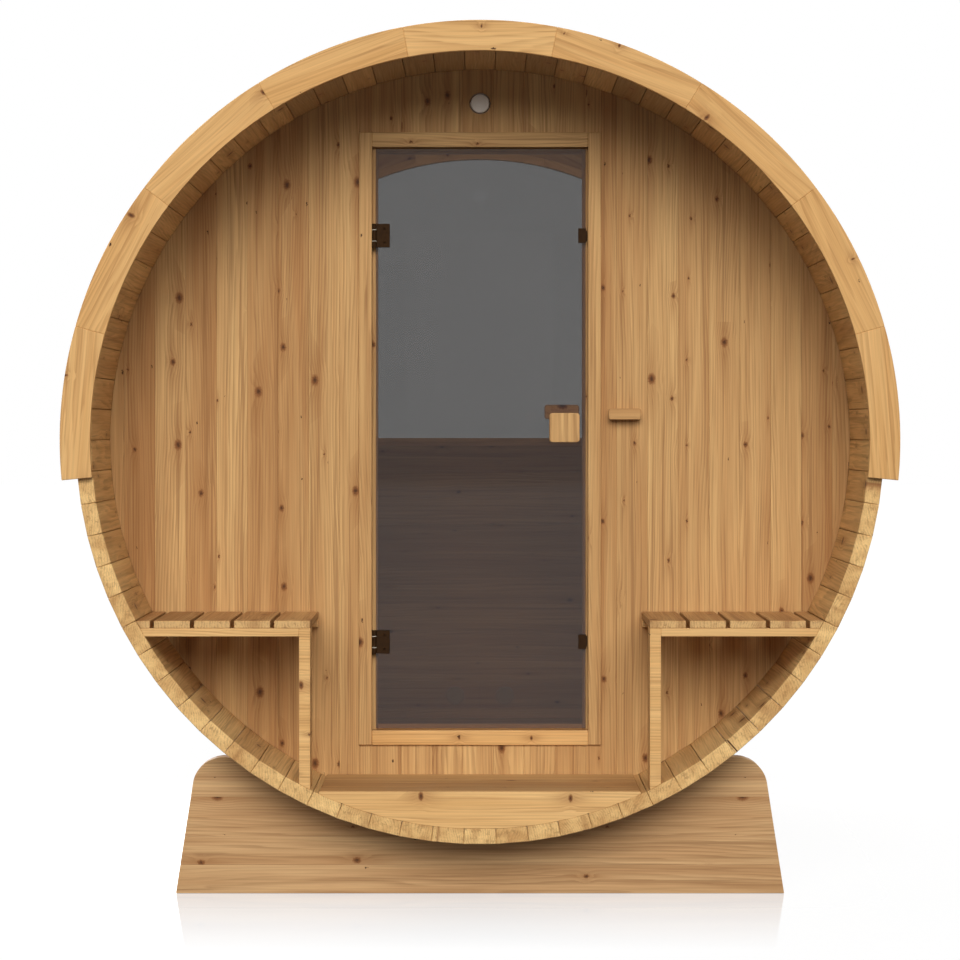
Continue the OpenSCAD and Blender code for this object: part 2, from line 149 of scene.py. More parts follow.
def planed_spruce(name, pale, deep, summer, ring=8.0, knots=0.62, knot_gap=(88, 210), knot_long=0.7, rough=0.5):
    """Knotty softwood, planed and oiled. ring is the width of a year's ring and knot_gap the room that a knot has across and along the board, both in millimetres. knots is the share of those rooms that hold a knot, and knot_long how far a knot is squeezed along the board."""
    material, tree = blank(name)
    grain = add(tree, "Attribute", attribute_name="grain")
    tone = add(tree, "Attribute", attribute_name="tone")
    at = (grain, "Vector")

    # The pith wanders by up to 25 mm each way over about 900 mm of the board's length.
    slow = add(tree, "VectorMath", {0: at, 1: (2.0, 2.0, 1.1)}, operation="MULTIPLY")
    wander = add(tree, "TexNoise", {"Vector": slow, "Scale": 1.0, "Detail": 1.0})
    shifted = add(tree, "VectorMath", {0: (wander, "Color"), 1: (0.05, 0.05, 0.0), 2: at}, operation="MULTIPLY_ADD")
    flat = add(tree, "VectorMath", {0: shifted, 1: (1.0, 1.0, 0.0)}, operation="MULTIPLY")
    radius = add(tree, "VectorMath", {0: flat}, operation="LENGTH")
    years = add(tree, "Math", {0: (radius, "Value"), 1: 1000 / ring}, operation="MULTIPLY")

    # Knots: one cell of a cell pattern is the room that a knot may have. Its outline is ragged by 2 mm.
    parts = add(tree, "SeparateXYZ", {0: at})
    room = add(tree, "CombineXYZ", {0: (parts, 0), 1: (parts, 2)})
    rag = add(tree, "TexNoise", {"Vector": room, "Scale": 210.0, "Detail": 3.0})

    def spots(across, along, squeeze, share, smallest, largest):
        """Round spots in rooms across by along: how far a point is from its spot as a multiple of the spot's radius, whether there is a spot at all, and the way to the spot's middle."""
        cells = add(tree, "VectorMath", {0: room, 1: (1 / across, 1 / along, 0.0)}, operation="MULTIPLY")
        cell = add(tree, "TexVoronoi", {"Vector": cells, "Scale": 1.0, "Randomness": 0.85}, voronoi_dimensions="2D")
        apart = add(tree, "VectorMath", {0: cells, 1: (cell, "Position")}, operation="SUBTRACT")
        real = add(tree, "VectorMath", {0: apart, 1: (across, along * squeeze, 0.0)}, operation="MULTIPLY")
        ragged = add(tree, "VectorMath", {0: (rag, "Color"), 1: (0.008, 0.008, 0.0), 2: real}, operation="MULTIPLY_ADD")
        centred = add(tree, "VectorMath", {0: ragged, 1: (0.004, 0.004, 0.0)}, operation="SUBTRACT")
        away = add(tree, "VectorMath", {0: centred}, operation="LENGTH")
        chance = add(tree, "SeparateColor", {0: (cell, "Color")})
        here = add(tree, "Math", {0: (chance, 1), 1: 1 - share}, operation="GREATER_THAN")
        skewed = add(tree, "Math", {0: (chance, 0), 1: 2.0}, operation="POWER")
        size = add(tree, "MapRange", {0: skewed, 3: smallest, 4: largest})
        reach = add(tree, "Math", {0: (away, "Value"), 1: size}, operation="DIVIDE")
        return reach, here, real, size

    def bell(reach, width, here):
        """exp(-(reach / width) squared), and nothing where there is no spot."""
        scaled = add(tree, "Math", {0: reach, 1: 1 / width}, operation="MULTIPLY")
        squared = add(tree, "Math", {0: scaled, 1: scaled}, operation="MULTIPLY")
        minus = add(tree, "Math", {0: squared, 1: -1.0}, operation="MULTIPLY")
        power = add(tree, "Math", {0: minus}, operation="EXPONENT")
        return add(tree, "Math", {0: power, 1: here}, operation="MULTIPLY")

    reach, here, real, size = spots(knot_gap[0] * MM, knot_gap[1] * MM, knot_long, knots, 0.0028, 0.013)
    halo = bell(reach, 2.6, here)
    edge = add(tree, "MapRange", {0: reach, 1: 1.2, 2: 0.6, 3: 0.0, 4: 1.0}, interpolation_type="SMOOTHSTEP")
    knot = add(tree, "Math", {0: edge, 1: here}, operation="MULTIPLY")
    heart = add(tree, "MapRange", {0: reach, 1: 0.75, 2: 0.1, 3: 0.0, 4: 1.0}, interpolation_type="SMOOTHSTEP")
    drawn_out = add(tree, "VectorMath", {0: real, 1: (1.0, 0.22, 0.0)}, operation="MULTIPLY")
    tail_away = add(tree, "VectorMath", {0: drawn_out}, operation="LENGTH")
    tail_reach = add(tree, "Math", {0: (tail_away, "Value"), 1: size}, operation="DIVIDE")
    tail = bell(tail_reach, 1.5, here)

    # Pin knots: small dark dots, about 2 mm across and twice as long.
    pin_reach, pin_here, _, _ = spots(0.115, 0.27, 0.45, 0.5, 0.0009, 0.0022)
    pin_edge = add(tree, "MapRange", {0: pin_reach, 1: 1.5, 2: 0.8, 3: 0.0, 4: 1.0})
    pin = add(tree, "Math", {0: pin_edge, 1: pin_here}, operation="MULTIPLY")

    # Rings: whole years lifted round each knot, good and bad years in turn, and a fine shake.
    coarse = add(tree, "VectorMath", {0: at, 1: (12.0, 12.0, 1.0)}, operation="MULTIPLY")
    climate = add(tree, "TexNoise", {"Vector": coarse, "Scale": 1.0, "Detail": 2.0})
    fine = add(tree, "VectorMath", {0: at, 1: (140.0, 140.0, 6.0)}, operation="MULTIPLY")
    shake = add(tree, "TexNoise", {"Vector": fine, "Scale": 1.0, "Detail": 2.0})
    lifted = add(tree, "Math", {0: halo, 1: 1.3, 2: years}, operation="MULTIPLY_ADD")
    uneven = add(tree, "Math", {0: climate, 1: 6.0, 2: lifted}, operation="MULTIPLY_ADD")
    phase = add(tree, "Math", {0: shake, 1: 0.8, 2: uneven}, operation="MULTIPLY_ADD")
    year = add(tree, "Math", {0: phase}, operation="FRACT")
    rise = add(tree, "MapRange", {0: year, 1: 0.15, 2: 0.9}, interpolation_type="SMOOTHSTEP")
    fall = add(tree, "MapRange", {0: year, 1: 0.88, 2: 1.0, 3: 1.0, 4: 0.0})
    line = add(tree, "Math", {0: rise, 1: fall}, operation="MULTIPLY")

    # Fibres: threads about 4 mm wide and 180 mm long, drawn wider than real so that they show.
    # Streaks are 35 mm wide, and a few long dark ones run through several boards' lengths of them.
    drawn = add(tree, "VectorMath", {0: at, 1: (240.0, 240.0, 4.0)}, operation="MULTIPLY")
    fibre = add(tree, "TexNoise", {"Vector": drawn, "Scale": 1.0, "Detail": 3.0, "Roughness": 0.65})
    broad = add(tree, "VectorMath", {0: at, 1: (30.0, 30.0, 1.4)}, operation="MULTIPLY")
    streak = add(tree, "TexNoise", {"Vector": broad, "Scale": 1.0, "Detail": 3.0})
    thin = add(tree, "VectorMath", {0: at, 1: (75.0, 75.0, 1.1)}, operation="MULTIPLY")
    stain = add(tree, "TexNoise", {"Vector": thin, "Scale": 1.0, "Detail": 2.0, "Roughness": 0.6})

    # Colour: spring wood between two shades, the summer line over it in patches, then the knots.
    mixed = add(tree, "Math", {0: (streak, 0), 1: 3.2, 2: (tone, "Fac")}, operation="MULTIPLY_ADD")
    shade = add(tree, "MapRange", {0: mixed, 1: 1.15, 2: 2.9})
    spring = add(tree, "Mix", {0: shade, 6: linear(pale), 7: linear(deep)}, data_type="RGBA")
    share = add(tree, "MapRange", {0: (stain, 0), 1: 0.35, 2: 0.65, 3: 0.0, 4: 0.6})
    dark_line = add(tree, "Math", {0: line, 1: share}, operation="MULTIPLY")
    stained = add(tree, "MapRange", {0: (stain, 0), 1: 0.6, 2: 0.7, 3: 0.0, 4: 0.55})
    darker = add(tree, "Math", {0: dark_line, 1: stained}, operation="MAXIMUM")
    ringed = add(tree, "Mix", {0: darker, 6: (spring, 2), 7: linear(summer)}, data_type="RGBA")
    thread = add(tree, "MapRange", {0: (fibre, 0), 1: 0.3, 2: 0.72, 3: 1.07, 4: 0.86})
    # Painted shade: a tone from 1 to 2 darkens the wood down to 0.45 of its light.
    painted_shade = add(tree, "MapRange", {0: (tone, "Fac"), 1: 1.0, 2: 2.0, 3: 1.0, 4: 0.45})
    fibre_and_painted_shade = add(tree, "Math", {0: thread, 1: painted_shade}, operation="MULTIPLY")
    threaded = add(tree, "VectorMath", {0: (ringed, 2), "Scale": fibre_and_painted_shade}, operation="SCALE")
    glow = add(tree, "Math", {0: tail, 1: 0.5}, operation="MULTIPLY")
    warm = add(tree, "Mix", {0: glow, 6: threaded, 7: linear("#94643A")}, data_type="RGBA")
    dark = add(tree, "Mix", {0: heart, 6: linear("#855632"), 7: linear("#4E301C")}, data_type="RGBA")
    knotted = add(tree, "Mix", {0: knot, 6: (warm, 2), 7: (dark, 2)}, data_type="RGBA")
    colour = add(tree, "Mix", {0: pin, 6: (knotted, 2), 7: linear("#4A2D1A")}, data_type="RGBA")

    # A plane leaves some fibres a little proud and shinier.
    bump = add(tree, "Bump", {"Strength": 0.3, "Distance": 0.0004, "Height": (fibre, 0)})
    gloss = add(tree, "MapRange", {0: (fibre, 0), 1: 0.2, 2: 0.8, 3: rough - 0.06, 4: rough + 0.1})
    shader = add(
        tree,
        "BsdfPrincipled",
        {"Base Color": (colour, 2), "Roughness": gloss, "IOR": 1.48, "Normal": bump, "Specular IOR Level": 0.3},
    )
    add(tree, "OutputMaterial", {"Surface": shader})
    print("finish", name, len(tree.nodes), "nodes")
    return material


wall_spruce = planed_spruce("planed knotty spruce, wall boards", "#D3AA72", "#AF8050", "#845834")
stave_spruce = planed_spruce("planed knotty spruce, staves", "#EDC585", "#C2945D", "#946C41", ring=7.0)
pale_spruce = planed_spruce("planed select spruce, trim", "#E3B77B", "#CF9D61", "#A67341", knots=0.5, knot_long=1.8)
beam_spruce = planed_spruce("planed spruce, cradle planks", "#DEB886", "#B68C60", "#8C6440", knots=0.5, knot_gap=(130, 330))
roof_spruce = planed_spruce("planed spruce, roof boards", "#D2A870", "#B6854C", "#8E6034", knots=0.5)

# %% [markdown]
# ### Metals, glass and plastics
# The hinges are brass with a dark bronze lacquer, which hides the metal's colour and keeps a soft
# shine. The bands are hot-dip galvanised steel: zinc that froze in flat crystals, each of which
# mirrors a little differently. The glass is toughened and tinted through: light goes straight on
# and loses about half of itself at each face, and the faces mirror a few parts in a hundred.

# %% Make the metals


def lacquered_bronze(name):
    """Dark lacquer over brass: a thin dark film, rubbed a little warmer in places, that is still partly metal."""
    material, tree = blank(name)
    place = add(tree, "TexCoord")
    mottle = add(tree, "TexNoise", {"Vector": (place, "Object"), "Scale": 140.0, "Detail": 3.0})
    colour = add(tree, "Mix", {0: (mottle, 0), 6: linear("#1E1006"), 7: linear("#422A10")}, data_type="RGBA")
    gloss = add(tree, "MapRange", {0: (mottle, 0), 3: 0.26, 4: 0.44})
    bump = add(tree, "Bump", {"Strength": 0.15, "Distance": 0.0002, "Height": (mottle, 0)})
    shader = add(tree, "BsdfPrincipled", {"Base Color": (colour, 2), "Metallic": 0.45, "Roughness": gloss, "Specular IOR Level": 0.25, "Normal": bump})
    add(tree, "OutputMaterial", {"Surface": shader})
    return material


def galvanised_steel(name):
    """Zinc crystals, about 9 mm across, each with its own shade and shine."""
    material, tree = blank(name)
    place = add(tree, "TexCoord")
    crystal = add(tree, "TexVoronoi", {"Vector": (place, "Object"), "Scale": 110.0})
    dust = add(tree, "TexNoise", {"Vector": (place, "Object"), "Scale": 500.0, "Detail": 2.0})
    each = add(tree, "SeparateColor", {0: (crystal, "Color")})
    colour = add(tree, "Mix", {0: (each, 0), 6: linear("#A9ADB0"), 7: linear("#C9CCCD")}, data_type="RGBA")
    gloss = add(tree, "MapRange", {0: (each, 1), 3: 0.3, 4: 0.5})
    bump = add(tree, "Bump", {"Strength": 0.1, "Distance": 0.0002, "Height": (dust, 0)})
    shader = add(tree, "BsdfPrincipled", {"Base Color": (colour, 2), "Metallic": 1.0, "Roughness": gloss, "Normal": bump})
    add(tree, "OutputMaterial", {"Surface": shader})
    return material


bronze = lacquered_bronze("brass, dark bronze lacquer")
zinc = galvanised_steel("hot-dip galvanised steel")
print("finishes", bronze.name, "and", zinc.name)

# %% Make the glass and the plastics


def tinted_glass(name, passes, hue):
    """Toughened glass, tinted through. passes is the share of light that goes on at each of its two faces, and hue its colour. A thin film of dust, six thousandths of the surface, scatters light."""
    material, tree = blank(name)
    place = add(tree, "TexCoord")
    cloud = add(tree, "TexNoise", {"Vector": (place, "Object"), "Scale": 2.2, "Detail": 2.0})
    tint = add(tree, "MapRange", {0: (cloud, 0), 3: passes * 0.97, 4: passes * 1.03})
    shade = add(tree, "Mix", {0: tint, 6: (0.0, 0.0, 0.0, 1.0), 7: hue}, data_type="RGBA")
    through = add(tree, "BsdfTransparent", {"Color": (shade, 2)})
    mirror = add(tree, "BsdfGlossy", {"Color": (1.0, 1.0, 1.0, 1.0), "Roughness": 0.03})
    face = add(tree, "Fresnel", {"IOR": 1.5})
    glass = add(tree, "MixShader", {0: face, 1: through, 2: mirror})
    dust = add(tree, "BsdfDiffuse", {"Color": (0.85, 0.85, 0.85, 1.0)})
    surface = add(tree, "MixShader", {0: 0.006, 1: glass, 2: dust})
    add(tree, "OutputMaterial", {"Surface": surface})
    return material


def moulded_plastic(name, colour, deep, rough):
    """Moulded plastic with a faint orange-peel skin of dimples about 2 mm apart."""
    material, tree = blank(name)
    place = add(tree, "TexCoord")
    skin = add(tree, "TexNoise", {"Vector": (place, "Object"), "Scale": 500.0, "Detail": 1.0})
    shade = add(tree, "Mix", {0: (skin, 0), 6: linear(colour), 7: linear(deep)}, data_type="RGBA")
    gloss = add(tree, "MapRange", {0: (skin, 0), 3: rough - 0.05, 4: rough + 0.05})
    bump = add(tree, "Bump", {"Strength": 0.1, "Distance": 0.0002, "Height": (skin, 0)})
    shader = add(tree, "BsdfPrincipled", {"Base Color": (shade, 2), "Roughness": gloss, "IOR": 1.49, "Normal": bump})
    add(tree, "OutputMaterial", {"Surface": shader})
    return material


door_tint = tinted_glass("toughened glass, warm grey tint", 0.66, (1.0, 0.93, 0.9, 1.0))
window_tint = tinted_glass("toughened glass, cool grey tint", 0.55, (0.9, 0.97, 1.0, 1.0))
nylon = moulded_plastic("nylon, moulded white", "#E4DECF", "#CFC7B5", 0.4)
vent_cream = moulded_plastic("ABS, moulded cream", "#FBF5EA", "#F1E9DB", 0.38)
vent_sand = moulded_plastic("ABS, moulded sand", "#A88A66", "#957853", 0.42)
print("finishes", door_tint.name, nylon.name, vent_cream.name)

# %% [markdown]
# ## From boards to pieces
# A board is a cross-section carried along a straight line. It is worked out in its own frame
# (across, deep, along) and then placed by three unit directions, so its own coordinates serve as
# the wood's grain as well. All boards of one solid go into one piece.

# %% Helpers for shapes


def rings_to_faces(rows, count, start=0, caps="ladder", closed=False):
    """Faces of a surface whose points are rows of closed rings with count points each: a quad between each pair of neighbours, and at the two ends either a ladder of quads across the ring or one face."""
    row, col = np.meshgrid(np.arange(rows if closed else rows - 1), np.arange(count), indexing="ij")
    nxt, up = (col + 1) % count, (row + 1) % rows
    quads = np.stack([row * count + col, row * count + nxt, up * count + nxt, up * count + col], -1).reshape(-1, 4)
    faces = (quads + start).tolist()
    if closed:
        return faces
    for base in (start, start + (rows - 1) * count):
        if caps == "ladder":
            i = np.arange(count // 2 - 1)
            steps = np.stack([base + i, base + i + 1, base + count - 2 - i, base + count - 1 - i], -1)
            faces += steps.tolist()
        elif caps == "face":
            faces.append([base + i for i in range(count)])
    return faces


def eased(corners, r):
    """A cross-section with each corner P rounded: three points on the curve from P + r a to P + r b, where a and b point at the corner's neighbours. The middle one is P + r (a + b) / 4."""
    p = np.asarray(corners, float)
    a, b = np.roll(p, 1, 0) - p, np.roll(p, -1, 0) - p
    a /= np.linalg.norm(a, axis=1, keepdims=True)
    b /= np.linalg.norm(b, axis=1, keepdims=True)
    return np.stack([p + r * a, p + r * (a + b) / 4, p + r * b], 1).reshape(-1, 2)


def split_ladder(ring, steps):
    """Adds steps points along the front and the back of a rounded four-cornered ring, so that a curved end can follow them."""
    t = np.linspace(0, 1, steps + 2)[1:-1, None]
    front = ring[2] + (ring[3] - ring[2]) * t
    back = ring[8] + (ring[9] - ring[8]) * t
    return np.concatenate([ring[:3], front, ring[3:9], back, ring[9:]])


def shrunk(ring, r):
    """The ring drawn in by r on all sides, by scaling it about the middle of its box."""
    low, high = ring.min(0), ring.max(0)
    middle, size = (low + high) / 2, high - low
    return middle + (ring - middle) * np.maximum(size - 2 * r, size * 0.2) / size


class Board:
    """One board: its points in the row frame, its faces, and its grain and tone."""

    def __init__(self, points, faces, grain, tone):
        self.points, self.faces, self.grain, self.tone = points, faces, grain, tone


def pith():
    """A random pith for a board: how far it lies to the side and behind the face, and which stretch of the tree it is."""
    return np.array([random.uniform(-0.05, 0.05), random.uniform(0.035, 0.11), random.uniform(0, 60)])


def timber(corners, low, high, origin, across, deep, along, ease=1.5 * MM, steps=0, heart=None, tone=None):
    """A straight board. corners is its cross-section (across, deep). low and high say where it ends along its length: numbers, or functions of the cross-section's points. The ends are eased too."""
    ring = eased(corners, ease)
    if steps:
        ring = split_ladder(ring, steps)
    small = shrunk(ring, ease * 0.8)
    rows = []
    for section, end, inward in ((small, low, 0), (ring, low, ease), (ring, high, -ease), (small, high, 0)):
        place = end(section[:, 0], section[:, 1]) if callable(end) else np.full(len(section), float(end))
        rows.append(np.column_stack([section, place + inward]))
    local = np.concatenate(rows)
    axes = np.array([across, deep, along], float)
    heart = pith() if heart is None else heart
    tone = random.uniform(0, 1) if tone is None else tone
    return Board(np.asarray(origin) + local @ axes, rings_to_faces(4, len(ring)), local + heart, np.full(len(local), tone))


def rectangle(x0, x1, t):
    """The cross-section of a board from x0 to x1, t deep."""
    return [(x0, 0), (x1, 0), (x1, t), (x0, t)]


def piece(name, boards, material, body, nodes):
    """Joins boards into one mesh, turns every face outwards, and lets it ride on its body in place of the named solids."""
    points, grain, tone, faces, start = [], [], [], [], 0
    for board in boards:
        points.append(board.points)
        grain.append(board.grain)
        tone.append(board.tone)
        faces += [[i + start for i in face] for face in board.faces]
        start += len(board.points)
    mesh = bpy.data.meshes.new(name)
    mesh.from_pydata(np.concatenate(points).tolist(), [], faces)
    mesh.attributes.new("grain", "FLOAT_VECTOR", "POINT").data.foreach_set("vector", np.concatenate(grain).astype(np.float32).ravel())
    mesh.attributes.new("tone", "FLOAT", "POINT").data.foreach_set("value", np.concatenate(tone).astype(np.float32))
    shell = bmesh.new()
    shell.from_mesh(mesh)
    bmesh.ops.recalc_face_normals(shell, faces=shell.faces)
    shell.to_mesh(mesh)
    shell.free()
    mesh.shade_smooth()
    mesh.set_sharp_from_angle(angle=math.radians(16))
    mesh.materials.append(material)
    made = bpy.data.objects.new(name, mesh)
    bpy.context.scene.collection.objects.link(made)
    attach(made, body)
    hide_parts(*nodes)
    print(name, len(boards), "parts,", len(mesh.polygons), "faces")
    return made


# %% [markdown]
# ## Staves
# Seventy-eight flat staves close the barrel. Each is a trapezoid, a little wider outside than
# inside, so that the joints close. Both pairs of long edges are eased, and that draws the fine dark
# lines that run the length of the barrel. The direction out from the centre line at an angle from
# straight down is (sine, 0, minus cosine), and the direction round it is (cosine, 0, sine). The pith
# of each stave lies level beside it, so that the sawn ends show upright lines. Staves towards the
# top carry a painted shade: they are made darker, so the porch ceiling looks shaded.

# %% Lay the staves
STAVE_ANGLE = 2 * math.pi / STAVES
AXIS = np.array([0.0, 0.0, CENTRE_Z])
Y = np.array([0.0, 1.0, 0.0])
X = np.array([1.0, 0.0, 0.0])
Z = np.array([0.0, 0.0, 1.0])


def outward(angle):
    """Direction from the centre line at an angle from straight down, turning towards +X, and the direction round the barrel there."""
    return np.array([math.sin(angle), 0, -math.cos(angle)]), np.array([math.cos(angle), 0, math.sin(angle)])


def round_board(angle, half, r_out, r_in, ease, open_joint=0.0, **more):
    """A board of the barrel or the roof: its joints are at angle - half and angle + half, on circles r_out and r_in. A joint may stand open a little at its inside."""
    out, side = outward(angle)
    face, back = r_out * math.cos(half), r_in * math.cos(half)
    wide, narrow = r_out * math.sin(half), r_in * math.sin(half)
    corners = [(-wide, 0), (wide, 0), (narrow - open_joint, face - back), (open_joint - narrow, face - back)]
    return timber(corners, FRONT, BACK, AXIS + out * face, side, -out, Y, ease, **more)


groups = ["bottom", "lower_right", "upper_right", "top", "upper_left", "lower_left"]
per_group = STAVES // len(groups)
for number, group in enumerate(groups):
    first = number * per_group - per_group // 2
    staves = []
    for i in range(per_group):
        angle = (first + i) * STAVE_ANGLE
        far = random.choice([-1, 1]) * random.uniform(0.1, 0.3)
        heart = np.array([far * math.cos(angle), -far * math.sin(angle), random.uniform(0, 60)])
        # Painted shade: the tone rises by up to 1.2 towards the top of the barrel, so the top staves are painted
        # darker.
        shade = random.uniform(0, 0.9) + 1.2 * max(0.0, -math.cos(angle)) ** 3
        staves.append(round_board(angle, STAVE_ANGLE / 2, OUTER_R, INNER_R, 2.0 * MM, 0.7 * MM, heart=heart, tone=shade))
    piece(f"stave_boards_{group}", staves, stave_spruce, "barrel", [f"staves_{group}"])

# %% [markdown]
# ## Roof
# The roof is a second skin of narrower boards on four bent ribs, which leaves an air gap over the
# staves. It ends just below the middle of the barrel on both sides. Each board is screwed to every
# rib, so the ribs can be read from outside by their rows of screws.

# %% Lay the roof boards
BOARD_ANGLE = 2 * ROOF_HALF / ROOF_BOARDS
roof_groups = ["left_low", "left_high", "right_high", "right_low"]
roof_angles = math.pi + ROOF_HALF - (np.arange(ROOF_BOARDS) + 0.5) * BOARD_ANGLE
for number, group in enumerate(roof_groups):
    some = roof_angles[number * 9 : number * 9 + 9]
    boards = [round_board(a, BOARD_ANGLE / 2, ROOF_OUT, ROOF_IN, 3.2 * MM) for a in some]
    piece(f"roof_boards_{group}", boards, roof_spruce, "barrel", [f"roof_{group}"])

# %% [markdown]
# ## Curved parts
# The ribs, the two fascia rings, the arch over the rear window and the window's own frame are all
# bands sawn to a curve. Each is a small cross-section (outwards, deep) carried round an arc. The
# wood was straight before it was sawn, so the grain of a segment runs along its chord: its grain
# coordinates are measured along the directions at the middle of the arc.

# %% Helper for curved parts


def bent(r_in, r_out, front, back, start, end, ease=1.5 * MM, step=math.radians(1.5), tone=None):
    """A segment between two circles and two depths, from one angle to another. Point = centre + (radius at the section) times the outward direction at the angle."""
    ring = eased([(r_in, front), (r_out, front), (r_out, back), (r_in, back)], ease)
    small = shrunk(ring, ease * 0.8)
    trim = ease / r_out
    angles = np.linspace(start + trim, end - trim, max(2, round((end - start) / step) + 1))
    sections = [small, *[ring] * len(angles), small]
    points = []
    for section, angle in zip(sections, [start, *angles, end]):
        out, _ = outward(angle)
        points.append(AXIS + section[:, :1] * out + section[:, 1:] * Y)
    points = np.concatenate(points)
    out, side = outward((start + end) / 2)
    own = np.column_stack([(points - AXIS) @ out - r_in, points[:, 1] - front, (points - AXIS) @ side])
    tone = random.uniform(0, 1) if tone is None else tone
    return Board(points, rings_to_faces(len(sections), len(ring)), own + pith(), np.full(len(points), tone))


# %% Bend the ribs and saw the fascias
rib_pitch = (BACK - FRONT - 45 * MM) / 3
ribs = []
for i in range(4):
    y = FRONT + i * rib_pitch
    for k in range(6):
        a = math.pi - ROOF_HALF + k * ROOF_HALF / 3
        ribs.append(bent(OUTER_R, ROOF_IN * math.cos(BOARD_ANGLE / 2), y, y + 45 * MM, a, a + ROOF_HALF / 3, 1.0 * MM))
piece("bent_ribs", ribs, roof_spruce, "barrel", ["roof_ribs"])

for end in ("front", "rear"):
    low, high = box(f"{end}_fascia")
    turn = 2 * ROOF_HALF / SEGMENTS
    segments = [
        bent(INNER_R, FASCIA_R, low[1], high[1], math.pi - ROOF_HALF + i * turn, math.pi - ROOF_HALF + (i + 1) * turn)
        for i in range(SEGMENTS)
    ]
    piece(f"{end}_fascia_segments", segments, pale_spruce, "barrel", [f"{end}_fascia"])

# %% [markdown]
# ## Front wall
# The wall is one layer of upright boards, 84 mm apart, whose ends are scribed to the inside of
# the staves. The staves make a polygon, so the height of the wall at a distance x from the middle
# is read off the joints of that polygon by straight lines between them.

# %% Lay the front wall
WALL_PITCH, WALL_START = 84 * MM, 37 * MM
joint_angles = math.pi + (np.arange(-20, 20) + 0.5) * STAVE_ANGLE
joint_x, joint_z = -INNER_R * np.sin(joint_angles), -INNER_R * np.cos(joint_angles)
SIDE_LIMIT = 1009.4 * MM


def half_chord(x):
    """Half the inside height of the barrel at x, which is also half its inside width at that height."""
    return np.interp(np.abs(x), joint_x[joint_x >= -1e-9], joint_z[joint_x >= -1e-9])


order = np.argsort(joint_x)
joint_x, joint_z = joint_x[order], joint_z[order]


def seams_between(x0, x1):
    """The wall's seams from x0 to x1, with both ends."""
    k = np.arange(math.ceil((x0 - WALL_START) / WALL_PITCH + 0.02), math.floor((x1 - WALL_START) / WALL_PITCH - 0.02) + 1)
    return [x0, *(WALL_START + WALL_PITCH * k).tolist(), x1]


WALL_T = WALL_BACK - WALL_FRONT
WALL_ORIGIN = np.array([0.0, WALL_FRONT, CENTRE_Z])


def wall_boards(x0, x1, low, high):
    """Upright wall boards from x0 to x1, between two heights that may be functions of x."""
    seams = seams_between(x0, x1)
    return [
        timber(rectangle(a, b, WALL_T), low, high, WALL_ORIGIN, X, Y, Z, 1.3 * MM, steps=4)
        for a, b in zip(seams, seams[1:])
    ]


def barrel_top(x, depth):
    """Where an upright board meets the staves above."""
    return half_chord(x)


def barrel_bottom(x, depth):
    """Where an upright board meets the staves below."""
    return -half_chord(x)


jamb_low, jamb_high = box("door_jamb_left")
FRAME_X = -float(jamb_low[0])
FRAME_LOW, FRAME_HIGH = float(jamb_low[2]) - CENTRE_Z, float(jamb_high[2]) - CENTRE_Z
left = wall_boards(-SIDE_LIMIT, -FRAME_X, barrel_bottom, barrel_top)
right = wall_boards(FRAME_X, SIDE_LIMIT, barrel_bottom, barrel_top)
under = wall_boards(-FRAME_X, FRAME_X, barrel_bottom, FRAME_LOW)
piece("wall_boards_left", left, wall_spruce, "barrel", ["front_wall_left"])
piece("wall_boards_right", right, wall_spruce, "barrel", ["front_wall_right"])
piece("wall_boards_under_door", under, wall_spruce, "barrel", ["front_wall_under_door"])

# %% [markdown]
# ## Boards with a vent hole
# Three boards have a round hole. Such a board is a frame round the hole: rays from the hole's
# centre meet the board's outline, and the surface runs from the outline in to the hole, through
# it, and out again at the back. For a convex outline the distance along a ray is the smallest of
# (distance to an edge's line) / (cosine between ray and edge normal).

# %% Helper for pierced boards


def ray_lengths(outline, centre, angles):
    """How far each ray from centre goes before it meets the convex outline."""
    p = np.asarray(outline, float)
    edge = np.roll(p, -1, 0) - p
    normal = np.column_stack([edge[:, 1], -edge[:, 0]])
    normal /= np.linalg.norm(normal, axis=1, keepdims=True)
    gap = ((p - centre) * normal).sum(1)
    normal, gap = normal * np.sign(gap)[:, None], np.abs(gap)
    facing = np.column_stack([np.cos(angles), np.sin(angles)]) @ normal.T
    return np.where(facing > 1e-6, gap / np.maximum(facing, 1e-6), np.inf).min(1)


def pierced(outline, centre, r, thickness, origin, across, deep, along, ease=1.3 * MM, heart=None, tone=None):
    """A board with an outline (across, along), a round hole of radius r at centre, and eased edges."""
    p = np.asarray(outline, float)
    corners = np.arctan2(p[:, 1] - centre[1], p[:, 0] - centre[0])
    angles = np.sort(np.concatenate([np.linspace(-math.pi, math.pi, 48, endpoint=False) + 0.013, corners]))
    u = np.column_stack([np.cos(angles), np.sin(angles)])
    far = ray_lengths(p, np.asarray(centre), angles)
    rows = [
        (far - ease, 0.0), (np.full_like(far, r + ease), 0.0), (np.full_like(far, r), ease),
        (np.full_like(far, r), thickness - ease), (np.full_like(far, r + ease), thickness),
        (far - ease, thickness), (far, thickness - ease), (far, ease),
    ]
    local = np.concatenate([
        np.column_stack([centre[0] + u[:, 0] * d, np.full(len(u), y), centre[1] + u[:, 1] * d]) for d, y in rows
    ])
    axes = np.array([across, deep, along], float)
    heart = pith() if heart is None else heart
    tone = random.uniform(0, 1) if tone is None else tone
    faces = rings_to_faces(len(rows), len(u), closed=True)
    return Board(np.asarray(origin) + local @ axes, faces, local + heart, np.full(len(local), tone))


